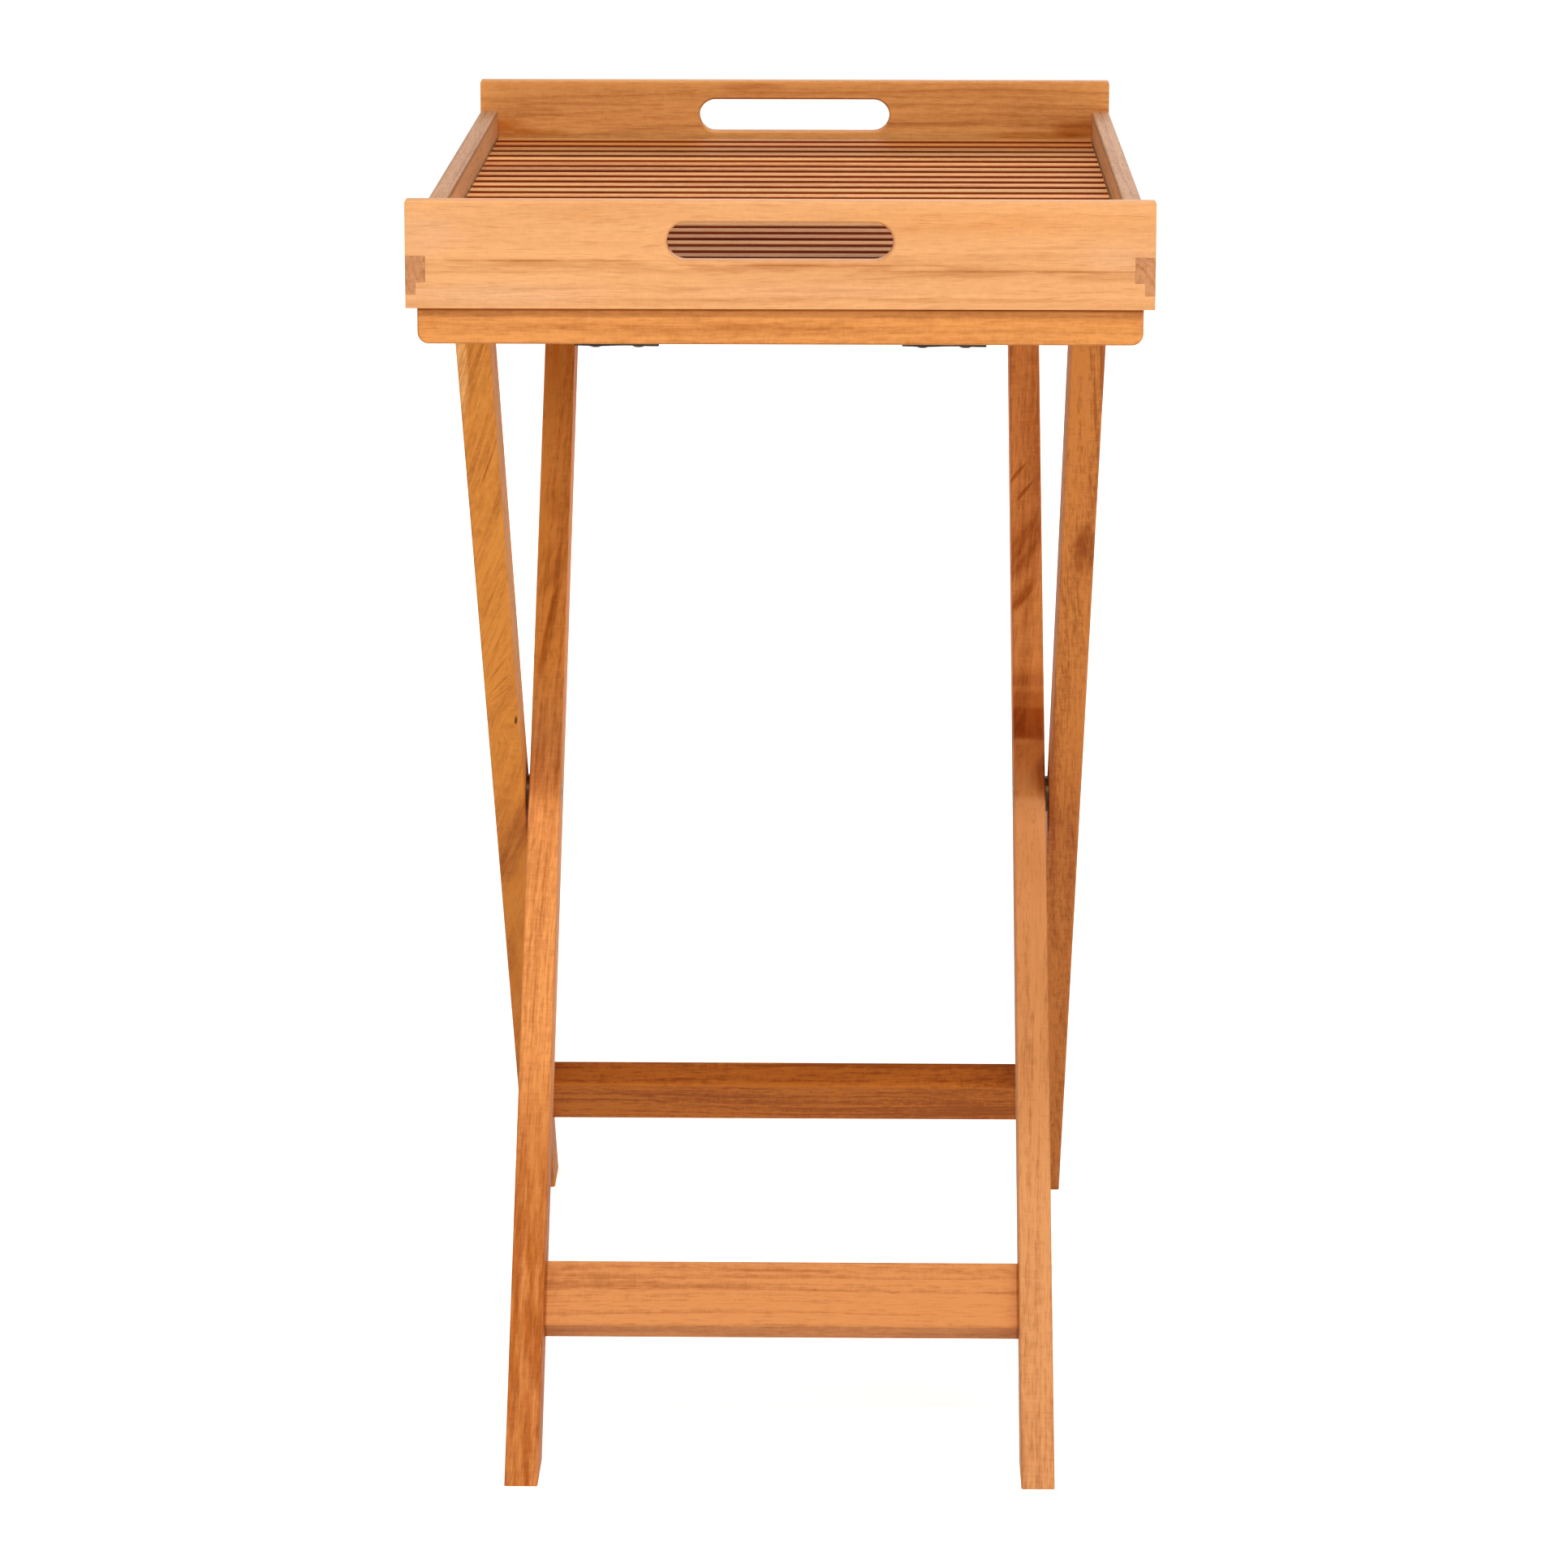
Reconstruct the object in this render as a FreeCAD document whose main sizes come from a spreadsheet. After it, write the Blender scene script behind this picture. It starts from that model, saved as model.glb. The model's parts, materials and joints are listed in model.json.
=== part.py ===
"""Tray table: a slatted tray with a handle slot in each end, resting loose on a folding cross-leg stand.

+X is to the right, +Y to the back and +Z up, with the origin on the floor under the middle of the table.
Lengths are in millimetres and angles in degrees. The inner frame runs from the front feet up to the rear
top rail, the outer frame from the rear feet up to the front top rail, and the two turn on each other about
the pivots where their legs cross. Webbing straps under the top rails stop the stand from spreading.
"""
import FreeCAD
import Part
import Sketcher

import math
import os
import re

# Driving sizes: lengths and one count, all kept in the document's sheet
SIZES = {
    # Tray
    "tray_length": 700,
    "tray_width": 450,
    "end_board_height": 65,
    "end_board_thickness": 14,
    "handle_length": 136,
    "handle_height": 23,
    "handle_drop": 24.5,
    "handle_ease": 1.2,
    "side_rail_thickness": 12,
    "side_rail_height": 43.4,
    "finger_base": 8.5,
    "finger_height": 23,
    "groove_depth": 6,
    "groove_height": 7.5,
    "slat_count": 23,
    "slat_width": 20,
    "slat_thickness": 16.5,
    "slat_ease": 3,
    "slat_shoulder_gap": 1.5,
    # Stand
    "stand_height": 747,
    "pivot_height": 368,
    "leg_width": 39,
    "leg_thickness": 21,
    "inner_frame_width": 346,
    "leg_tenon_width": 26,
    "leg_tenon_thickness": 9,
    "leg_tenon_length": 15,
    "top_rail_length": 437,
    "top_rail_height": 22.4,
    "top_rail_depth": 62,
    "top_rail_inset": 5.7,
    "top_rail_overhang": 8.5,
    "top_rail_corner": 7,
    "top_rail_ease": 1,
    "stretcher_height": 89.6,
    "stretcher_width": 44.5,
    "stretcher_thickness": 20.5,
    "stretcher_ease": 1,
    "stretcher_tenon_width": 30,
    "stretcher_tenon_thickness": 9,
    "stretcher_tenon_length": 13,
    # Pivots
    "washer_thickness": 2.4,
    "washer_diameter": 24,
    "sleeve_diameter": 9,
    "bolt_diameter": 6,
    "bolt_reach": 24,
    "pivot_head_diameter": 13.5,
    "pivot_head_thickness": 2,
    # Straps and their screws
    "strap_width": 51,
    "strap_thickness": 1.3,
    "strap_spacing": 198,
    "strap_inset": 1,
    "strap_hem": 42,
    "screw_diameter": 4,
    "screw_length": 14,
    "screw_head_diameter": 9,
    "screw_head_height": 2.4,
    "screw_spacing": 26,
    "screw_inset": 22,
    # Eased edges, clearances and the overrun of cuts
    "edge_ease": 1.5,
    "joint_clearance": 0.1,
    "pivot_clearance": 0.08,
    "head_clearance": 0.3,
    "overrun": 5,
}

# Derived places, in the sheet's names. The stand spreads until its top rails lie just inside the tray's
# ends: there the outer edge of each leg meets the rail's underside one overhang in from the rail's face.
RAIL_UNDERSIDE = "(stand_height - top_rail_height)"
TOP_RAIL_FACE = "(tray_length / 2 - top_rail_inset)"
TOP_RAIL_MIDDLE = f"({TOP_RAIL_FACE} - top_rail_depth / 2)"
LEG_RISE = f"({RAIL_UNDERSIDE} - pivot_height)"
LEG_REACH = f"({TOP_RAIL_FACE} - top_rail_overhang)"
SPREAD = f"(acos(leg_width / 2 / hypot({LEG_RISE}; {LEG_REACH})) - atan2({LEG_RISE}; {LEG_REACH}))"
INNER_LEG_FACE = "(inner_frame_width / 2 - leg_thickness)"
OUTER_LEG_FACE = "(inner_frame_width / 2 + washer_thickness)"
FINGER_TOP = "(finger_base + finger_height)"
GROOVE_TOP = "(finger_base + groove_height)"
FINGER_NECK = "(side_rail_thickness - groove_depth)"
SLAT_PITCH = "((tray_length - 2 * end_board_thickness) / slat_count)"
SCREW_PLACE = f"({TOP_RAIL_FACE} - screw_inset)"

# Two places closer than this are the same place
SAME_PLACE = 1e-6
X_AXIS = FreeCAD.Vector(1, 0, 0)
Y_AXIS = FreeCAD.Vector(0, 1, 0)
Z_AXIS = FreeCAD.Vector(0, 0, 1)


def in_sheet(text):
    """Expression text with each size's name pointed at its cell."""
    return re.sub(r"[a-z]\w*", lambda word: f"Sizes.{word[0]}" if word[0] in SIZES else word[0], text)


def bind(target, path, text):
    """Bind a property of a document object to an expression in the sheet's names."""
    target.setExpression(path, in_sheet(text))


def make_sheet(doc):
    """The sheet of driving sizes: names in column A, values and aliases in column B."""
    sheet = doc.addObject("Spreadsheet::Sheet", "Sizes")
    for row, (alias, number) in enumerate(SIZES.items(), 1):
        sheet.set(f"A{row}", alias)
        sheet.set(f"B{row}", str(number))
        sheet.setAlias(f"B{row}", alias)
    doc.recompute()
    return sheet


def value(doc, text):
    """The number that an expression in the sheet's names comes to."""
    return float(doc.Sizes.evalExpression(in_sheet(text)))


def new_body(doc, label, place=("0", "0", "0"), turn=None):
    """A body with a bound place, and a bound turn about the X axis where one is given."""
    body = doc.addObject("PartDesign::Body", label)
    body.Label = label
    if turn:
        start_angle = value(doc, turn)
        body.Placement = FreeCAD.Placement(FreeCAD.Vector(), FreeCAD.Rotation(X_AXIS, start_angle))
        bind(body, "Placement.Rotation.Angle", turn)
    for axis, text in zip("xyz", place):
        bind(body, f"Placement.Base.{axis}", text)
    return body


def new_sketch(body, name, plane, offset="0"):
    """A sketch on one of the body's own origin planes, moved along the plane's normal."""
    sketch = body.newObject("Sketcher::SketchObject", name)
    support = next(feature for feature in body.Origin.OriginFeatures if feature.Role == plane)
    sketch.AttachmentSupport = [(support, "")]
    sketch.MapMode = "FlatFace"
    bind(sketch, "AttachmentOffset.Base.z", offset)
    return sketch


def pin_point(sketch, geometry, point, across, up):
    """Hold a point of a sketch at bound distances from the sketch's origin."""
    for kind, text in (("DistanceX", across), ("DistanceY", up)):
        start_value = value(sketch.Document, text)
        constraint = Sketcher.Constraint(kind, -1, 1, geometry, point, start_value)
        number = sketch.addConstraint(constraint)
        bind(sketch, f"Constraints[{number}]", text)


def add_outline(sketch, corners):
    """A closed polygon with every corner bound to its (across, up) expressions."""
    doc = sketch.Document
    places = [FreeCAD.Vector(value(doc, across), value(doc, up), 0) for across, up in corners]
    first = sketch.GeometryCount
    for number, start in enumerate(places):
        sketch.addGeometry(Part.LineSegment(start, places[(number + 1) % len(places)]))
    for number, (across, up) in enumerate(corners):
        line = first + number
        following = first + (number + 1) % len(corners)
        sketch.addConstraint(Sketcher.Constraint("Coincident", line, 2, following, 1))
        pin_point(sketch, line, 1, across, up)


def add_rectangle(sketch, left, right, low, high):
    """A rectangle with bound sides."""
    add_outline(sketch, [(left, low), (right, low), (right, high), (left, high)])


def add_circle(sketch, across, up, diameter):
    """A circle with a bound centre and diameter."""
    doc = sketch.Document
    centre = FreeCAD.Vector(value(doc, across), value(doc, up), 0)
    circle = sketch.addGeometry(Part.Circle(centre, Z_AXIS, value(doc, diameter) / 2))
    pin_point(sketch, circle, 3, across, up)
    constraint = Sketcher.Constraint("Diameter", circle, value(doc, diameter))
    number = sketch.addConstraint(constraint)
    bind(sketch, f"Constraints[{number}]", diameter)


def add_stadium(sketch, length, height, up):
    """A slot with half-round ends, centred across the sketch at a bound height."""
    doc = sketch.Document
    radius = value(doc, height) / 2
    reach = value(doc, length) / 2 - radius
    level = value(doc, up)
    right_end = Part.Circle(FreeCAD.Vector(reach, level, 0), Z_AXIS, radius)
    left_end = Part.Circle(FreeCAD.Vector(-reach, level, 0), Z_AXIS, radius)
    right_arc = sketch.addGeometry(Part.ArcOfCircle(right_end, -math.pi / 2, math.pi / 2))
    left_arc = sketch.addGeometry(Part.ArcOfCircle(left_end, math.pi / 2, 3 * math.pi / 2))
    top_right = FreeCAD.Vector(reach, level + radius, 0)
    top_left = FreeCAD.Vector(-reach, level + radius, 0)
    low_left = FreeCAD.Vector(-reach, level - radius, 0)
    low_right = FreeCAD.Vector(reach, level - radius, 0)
    top_line = sketch.addGeometry(Part.LineSegment(top_right, top_left))
    low_line = sketch.addGeometry(Part.LineSegment(low_left, low_right))
    ring = (right_arc, top_line, left_arc, low_line)
    for number, edge in enumerate(ring):
        following = ring[(number + 1) % len(ring)]
        sketch.addConstraint(Sketcher.Constraint("Tangent", edge, 2, following, 1))
    pin_point(sketch, right_arc, 3, f"({length} - {height}) / 2", up)
    pin_point(sketch, left_arc, 3, f"({height} - {length}) / 2", up)
    number = sketch.addConstraint(Sketcher.Constraint("Radius", right_arc, radius))
    bind(sketch, f"Constraints[{number}]", f"{height} / 2")


def extrude(body, kind, sketch, length, side="Symmetric", reverse=False):
    """A pad or pocket of a sketch, by default half to each side of it; a pocket has to cut something."""
    doc = body.Document
    doc.recompute()
    before = body.Shape.Volume if body.Tip else 0
    feature = body.newObject(f"PartDesign::{kind}", f"{sketch.Name}{kind}")
    feature.Profile = sketch
    feature.SideType = side
    feature.Reversed = reverse
    bind(feature, "Length", length)
    doc.recompute()
    if kind == "Pocket" and not body.Shape.Volume < before:
        raise RuntimeError(f"{feature.Label} cuts nothing")
    return feature


def straight_edges(feature, along, level=None):
    """Names of a feature's straight edges along an axis, in the body's frame, all or those at one level."""
    found = []
    for number, edge in enumerate(feature.Shape.Edges, 1):
        if not isinstance(edge.Curve, Part.Line) or edge.Curve.Direction.cross(along).Length > SAME_PLACE:
            continue
        if level is None or abs(edge.CenterOfMass.z - level) < SAME_PLACE:
            found.append(f"Edge{number}")
    return found


def round_edges(body, feature, names, radius):
    """Round the named edges of a feature by a bound radius."""
    fillet = body.newObject("PartDesign::Fillet", f"{feature.Name}Round")
    fillet.Base = (feature, names)
    bind(fillet, "Radius", radius)
    body.Document.recompute()
    return fillet


def bevel_edges(body, feature, names, size):
    """Bevel the named edges of a feature, and the edges that run on smoothly from them, by a bound size."""
    chamfer = body.newObject("PartDesign::Chamfer", f"{feature.Name}Bevel")
    chamfer.Base = (feature, names)
    bind(chamfer, "Size", size)
    body.Document.recompute()
    return chamfer


def make_group(doc, label, bodies):
    """Like pieces kept together under one name."""
    group = doc.addObject("Part::Compound", label)
    group.Label = label
    group.Links = bodies
    doc.recompute()
    return group


def make_end_board(doc, label, end):
    """A tray end: notched at its ends for the side rails' fingers and pierced by the handle slot."""
    middle = f"{end} * (tray_length - end_board_thickness) / 2"
    body = new_body(doc, label, ("0", middle, "stand_height"))
    half = "tray_width / 2"
    neck = f"{half} - {FINGER_NECK} - joint_clearance"
    deep = f"{half} - side_rail_thickness - joint_clearance"
    notch = [(half, "finger_base - joint_clearance"),
             (neck, "finger_base - joint_clearance"),
             (neck, f"{GROOVE_TOP} - joint_clearance"),
             (deep, f"{GROOVE_TOP} - joint_clearance"),
             (deep, f"{FINGER_TOP} + joint_clearance"),
             (half, f"{FINGER_TOP} + joint_clearance")]
    right_side = [(half, "0")] + notch + [(half, "end_board_height")]
    left_side = [(f"-({across})", up) for across, up in reversed(right_side)]
    outline = new_sketch(body, f"{label}_outline", "XZ_Plane")
    add_outline(outline, right_side + left_side)
    board = extrude(body, "Pad", outline, "end_board_thickness")
    top_level = value(doc, "end_board_height")
    rim = straight_edges(board, X_AXIS, top_level) + straight_edges(board, Y_AXIS, top_level)
    round_edges(body, board, rim, "edge_ease")
    handle = new_sketch(body, f"{label}_handle", "XZ_Plane")
    add_stadium(handle, "handle_length", "handle_height", "end_board_height - handle_drop")
    slot = extrude(body, "Pocket", handle, "end_board_thickness + overrun")
    slot_top = value(doc, "end_board_height - handle_drop + handle_height / 2")
    bevel_edges(body, slot, straight_edges(slot, X_AXIS, slot_top), "handle_ease")
    return body


def make_side_rail(doc, label, side):
    """A tray side: a grooved rail whose finger runs through both end boards and shows on their faces."""
    body = new_body(doc, label, (f"{side} * tray_width / 2", "0", "stand_height"))
    inward = -side
    inner = f"{inward} * side_rail_thickness"
    groove = f"{inward} * {FINGER_NECK}"
    section = new_sketch(body, f"{label}_section", "XZ_Plane")
    add_outline(section, [("0", "0"), (inner, "0"), (inner, "finger_base"), (groove, "finger_base"),
                          (groove, GROOVE_TOP), (inner, GROOVE_TOP), (inner, "side_rail_height"),
                          ("0", "side_rail_height")])
    rail = extrude(body, "Pad", section, "tray_length - 2 * end_board_thickness")
    top_edges = straight_edges(rail, Y_AXIS, value(doc, "side_rail_height"))
    round_edges(body, rail, top_edges, "edge_ease")
    finger = new_sketch(body, f"{label}_finger", "XZ_Plane")
    add_outline(finger, [("0", "finger_base"), (groove, "finger_base"), (groove, GROOVE_TOP),
                         (inner, GROOVE_TOP), (inner, FINGER_TOP), ("0", FINGER_TOP)])
    extrude(body, "Pad", finger, "tray_length")
    return body


def make_slat(doc, label, number):
    """A floor slat across the tray, with a tongue at each end that lies in the side rails' grooves."""
    place = f"({number} - (slat_count - 1) / 2) * {SLAT_PITCH}"
    body = new_body(doc, label, ("0", place, "stand_height + finger_base"))
    section = new_sketch(body, f"{label}_section", "YZ_Plane")
    add_rectangle(section, "-slat_width / 2", "slat_width / 2", "0", "slat_thickness")
    slat = extrude(body, "Pad", section, "tray_width - 2 * (side_rail_thickness + slat_shoulder_gap)")
    top_edges = straight_edges(slat, X_AXIS, value(doc, "slat_thickness"))
    round_edges(body, slat, top_edges, "slat_ease")
    tongue = new_sketch(body, f"{label}_tongue", "YZ_Plane")
    add_rectangle(tongue, "-slat_width / 2", "slat_width / 2", "0", "groove_height - joint_clearance")
    extrude(body, "Pad", tongue, f"tray_width - 2 * ({FINGER_NECK} + joint_clearance)")
    return body


def along_leg(height, across="0", lean=1):
    """How far up its own axis from the pivot a leg meets a level, at a place across its width."""
    return f"({height} - pivot_height) / cos({SPREAD}) + {lean} * ({across}) * tan({SPREAD})"


def leg_strip(width, low, high, lean):
    """Corners of a strip of a leg's side view, between two levels of the standing table."""
    left = f"-{width} / 2"
    right = f"{width} / 2"
    return [(left, along_leg(low, left, lean)), (right, along_leg(low, right, lean)),
            (right, along_leg(high, right, lean)), (left, along_leg(high, left, lean))]


def make_leg(doc, label, side, lean, inner_face):
    """A leg, drawn along its own slope: level foot, tenon at the top, pivot bore and stretcher mortise.

    lean is 1 where the leg rises to the back and -1 where it rises to the front.
    """
    body = new_body(doc, label, (f"{side} * {inner_face}", "0", "pivot_height"), f"{-lean} * {SPREAD}")
    leftward = side < 0
    outline = new_sketch(body, f"{label}_outline", "YZ_Plane")
    add_outline(outline, leg_strip("leg_width", "0", RAIL_UNDERSIDE, lean))
    leg = extrude(body, "Pad", outline, "leg_thickness", "One side", leftward)
    round_edges(body, leg, straight_edges(leg, Z_AXIS), "edge_ease")
    tenon = new_sketch(body, f"{label}_tenon", "YZ_Plane", f"{side} * leg_thickness / 2")
    tenon_root = f"({RAIL_UNDERSIDE} - overrun)"
    tenon_tip = f"({RAIL_UNDERSIDE} + leg_tenon_length)"
    add_outline(tenon, leg_strip("leg_tenon_width", tenon_root, tenon_tip, lean))
    extrude(body, "Pad", tenon, "leg_tenon_thickness")
    mortise = new_sketch(body, f"{label}_mortise", "YZ_Plane")
    middle = along_leg("stretcher_height")
    half_width = "(stretcher_tenon_width / 2 + joint_clearance)"
    half_thickness = "(stretcher_tenon_thickness / 2 + joint_clearance)"
    add_rectangle(mortise, f"-{half_thickness}", half_thickness,
                  f"{middle} - {half_width}", f"{middle} + {half_width}")
    depth = "stretcher_tenon_length + joint_clearance"
    extrude(body, "Pocket", mortise, depth, "One side", not leftward)
    return body


def bore_leg(body, side, clearance, head_face):
    """The pivot bore through a leg, with a sunk seat for the pivot's head in one of its faces."""
    leftward = side < 0
    bore = new_sketch(body, f"{body.Label}_bore", "YZ_Plane", f"{side} * leg_thickness / 2")
    add_circle(bore, "0", "0", f"sleeve_diameter + 2 * {clearance}")
    extrude(body, "Pocket", bore, "leg_thickness + overrun")
    seat = new_sketch(body, f"{body.Label}_seat", "YZ_Plane", f"{side} * {head_face}")
    add_circle(seat, "0", "0", "pivot_head_diameter + 2 * head_clearance")
    inward = leftward if head_face != "0" else not leftward
    extrude(body, "Pocket", seat, "pivot_head_thickness", "One side", inward)


def make_inner_leg(doc, label, side):
    """A leg of the inner frame, with the sleeve nut's head sunk in its inner face."""
    body = make_leg(doc, label, side, 1, INNER_LEG_FACE)
    bore_leg(body, side, "joint_clearance", "0")
    return body


def make_outer_leg(doc, label, side):
    """A leg of the outer frame, which turns on the sleeve, with the bolt's head sunk in its outer face."""
    body = make_leg(doc, label, side, -1, OUTER_LEG_FACE)
    bore_leg(body, side, "pivot_clearance", "leg_thickness")
    return body


def make_top_rail(doc, label, lean, inner_face):
    """A top rail under one end of the tray: round lower corners, sloping mortises and screw holes."""
    body = new_body(doc, label, ("0", f"{lean} * {TOP_RAIL_MIDDLE}", RAIL_UNDERSIDE))
    outline = new_sketch(body, f"{label}_outline", "XZ_Plane")
    add_rectangle(outline, "-top_rail_length / 2", "top_rail_length / 2", "0", "top_rail_height")
    board = extrude(body, "Pad", outline, "top_rail_depth")
    rounded = round_edges(body, board, straight_edges(board, Y_AXIS, 0), "top_rail_corner")
    bevel_edges(body, rounded, straight_edges(rounded, X_AXIS), "top_rail_ease")
    for side in (-1, 1):
        add_leg_mortise(body, lean, side, inner_face)
    holes = new_sketch(body, f"{label}_screw_holes", "XY_Plane")
    for across in screw_places():
        add_circle(holes, across, f"{lean} * ({SCREW_PLACE} - {TOP_RAIL_MIDDLE})",
                   "screw_diameter + 2 * joint_clearance")
    extrude(body, "Pocket", holes, "screw_length + joint_clearance", "One side", True)
    return body


def add_leg_mortise(body, lean, side, inner_face):
    """The mortise for one leg's tenon, cut up into a top rail along the leg's slope."""
    name = f"{body.Label}_mortise_{'left' if side < 0 else 'right'}"
    sketch = new_sketch(body, name, "YZ_Plane", f"{side} * ({inner_face} + leg_thickness / 2)")
    axis_place = f"{lean} * ({LEG_RISE} * tan({SPREAD}) - {TOP_RAIL_MIDDLE})"
    half = f"(leg_tenon_width / 2 + joint_clearance) / cos({SPREAD})"
    low = "(-overrun)"
    high = "(leg_tenon_length + joint_clearance)"
    corners = [(f"{axis_place} + {lean} * {level} * tan({SPREAD}) + {edge} * {half}", level)
               for level, edge in ((low, -1), (low, 1), (high, 1), (high, -1))]
    add_outline(sketch, corners)
    extrude(body, "Pocket", sketch, "leg_tenon_thickness + 2 * joint_clearance")


def make_stretcher(doc, label, lean, inner_face):
    """A stretcher between the legs of one frame, on their slope, with a tenon at each end."""
    middle = f"{lean} * (stretcher_height - pivot_height) * tan({SPREAD})"
    body = new_body(doc, label, ("0", middle, "stretcher_height"), f"{-lean} * {SPREAD}")
    section = new_sketch(body, f"{label}_section", "YZ_Plane")
    add_rectangle(section, "-stretcher_thickness / 2", "stretcher_thickness / 2",
                  "-stretcher_width / 2", "stretcher_width / 2")
    board = extrude(body, "Pad", section, f"2 * {inner_face}")
    bevel_edges(body, board, straight_edges(board, X_AXIS), "stretcher_ease")
    tenon = new_sketch(body, f"{label}_tenon", "YZ_Plane")
    add_rectangle(tenon, "-stretcher_tenon_thickness / 2", "stretcher_tenon_thickness / 2",
                  "-stretcher_tenon_width / 2", "stretcher_tenon_width / 2")
    extrude(body, "Pad", tenon, f"2 * ({inner_face} + stretcher_tenon_length)")
    return body


def make_turned(doc, label, place, half_section, upright=False):
    """A turned piece on an axis along X, or along Z if upright, from (along, radius) corners."""
    body = new_body(doc, label, place)
    plane, axis = ("YZ_Plane", "V_Axis") if upright else ("XY_Plane", "H_Axis")
    sketch = new_sketch(body, f"{label}_section", plane)
    add_outline(sketch, [corner[::-1] for corner in half_section] if upright else half_section)
    turn = body.newObject("PartDesign::Revolution", f"{label}_turn")
    turn.Profile = sketch
    turn.ReferenceAxis = (sketch, [axis])
    doc.recompute()
    return body


def make_sleeve_nut(doc, label, side):
    """The sleeve nut of one pivot: its head in the inner leg, its sleeve through both legs."""
    head = "pivot_head_diameter / 2"
    sleeve = "sleeve_diameter / 2"
    thread = "bolt_diameter / 2"
    head_end = f"{side} * pivot_head_thickness"
    sleeve_end = f"{side} * ({OUTER_LEG_FACE} + leg_thickness - pivot_head_thickness - {INNER_LEG_FACE})"
    thread_end = f"{sleeve_end} - {side} * bolt_reach"
    return make_turned(doc, label, (f"{side} * {INNER_LEG_FACE}", "0", "pivot_height"),
                       [("0", "0"), ("0", head), (head_end, head), (head_end, sleeve), (sleeve_end, sleeve),
                        (sleeve_end, thread), (thread_end, thread), (thread_end, "0")])


def make_pivot_bolt(doc, label, side):
    """The bolt of one pivot: its head in the outer leg, its shank in the sleeve nut."""
    head = "pivot_head_diameter / 2"
    shank = "(bolt_diameter / 2 - joint_clearance)"
    head_end = f"{-side} * pivot_head_thickness"
    shank_end = f"{-side} * (pivot_head_thickness + bolt_reach - joint_clearance)"
    return make_turned(doc, label, (f"{side} * ({OUTER_LEG_FACE} + leg_thickness)", "0", "pivot_height"),
                       [("0", "0"), ("0", head), (head_end, head), (head_end, shank), (shank_end, shank),
                        (shank_end, "0")])


def make_washer(doc, label, side):
    """The washer between the legs of one side, round the sleeve nut."""
    bore = "(sleeve_diameter / 2 + joint_clearance)"
    rim = "washer_diameter / 2"
    far_face = f"{side} * washer_thickness"
    return make_turned(doc, label, (f"{side} * inner_frame_width / 2", "0", "pivot_height"),
                       [("0", bore), ("0", rim), (far_face, rim), (far_face, bore)])


def make_pivots(doc):
    """The turned pieces on which the two frames turn, one of each kind on either side."""
    makers = {"sleeve_nut": make_sleeve_nut, "pivot_bolt": make_pivot_bolt, "spacer_washer": make_washer}
    groups = []
    for kind, make in makers.items():
        pair = [make(doc, f"{side_name}_{kind}", side) for side, side_name in ((-1, "left"), (1, "right"))]
        groups.append(make_group(doc, f"{kind}s", pair))
    return groups


def screw_places():
    """Places across the table of the screws in one top rail, two through each strap."""
    return [f"({strap} * strap_spacing + {screw} * screw_spacing) / 2"
            for strap in (-1, 1) for screw in (-1, 1)]


def make_strap(doc, label, side):
    """A webbing strap drawn tight under both top rails, with its ends turned under and screwed up."""
    body = new_body(doc, label, (f"{side} * strap_spacing / 2", "0", RAIL_UNDERSIDE))
    reach = f"({TOP_RAIL_FACE} - strap_inset)"
    hem = f"({reach} - strap_hem)"
    profile = new_sketch(body, f"{label}_profile", "YZ_Plane")
    add_outline(profile, [(f"-{reach}", "0"), (f"-{reach}", "-2 * strap_thickness"),
                          (f"-{hem}", "-2 * strap_thickness"), (f"-{hem}", "-strap_thickness"),
                          (hem, "-strap_thickness"), (hem, "-2 * strap_thickness"),
                          (reach, "-2 * strap_thickness"), (reach, "0")])
    extrude(body, "Pad", profile, "strap_width")
    holes = new_sketch(body, f"{label}_holes", "XY_Plane")
    for end in (-1, 1):
        for screw in (-1, 1):
            add_circle(holes, f"{screw} * screw_spacing / 2", f"{end} * {SCREW_PLACE}",
                       "screw_diameter + 2 * head_clearance")
    extrude(body, "Pocket", holes, "2 * strap_thickness + overrun", "One side")
    return body


def make_screws(doc, label, end):
    """The four pan-headed screws that hold the straps to one top rail, as one group."""
    head = "screw_head_diameter / 2"
    shank = "screw_diameter / 2"
    crown = "-screw_head_height"
    tip = "(screw_length + 2 * strap_thickness)"
    screws = []
    for number, across in enumerate(screw_places(), 1):
        place = (across, f"{end} * {SCREW_PLACE}", f"{RAIL_UNDERSIDE} - 2 * strap_thickness")
        half_section = [(crown, "0"), (crown, head), ("0", head), ("0", shank), (tip, shank), (tip, "0")]
        screws.append(make_turned(doc, f"{label}_{number}", place, half_section, upright=True))
    return make_group(doc, label, screws)


def make_tray(doc):
    """Both ends, both sides and the floor slats of the tray."""
    pieces = [make_end_board(doc, "front_end_board", -1), make_end_board(doc, "rear_end_board", 1),
              make_side_rail(doc, "left_side_rail", -1), make_side_rail(doc, "right_side_rail", 1)]
    for number in range(SIZES["slat_count"]):
        pieces.append(make_slat(doc, f"slat_{number + 1:02d}", number))
    return pieces


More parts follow.
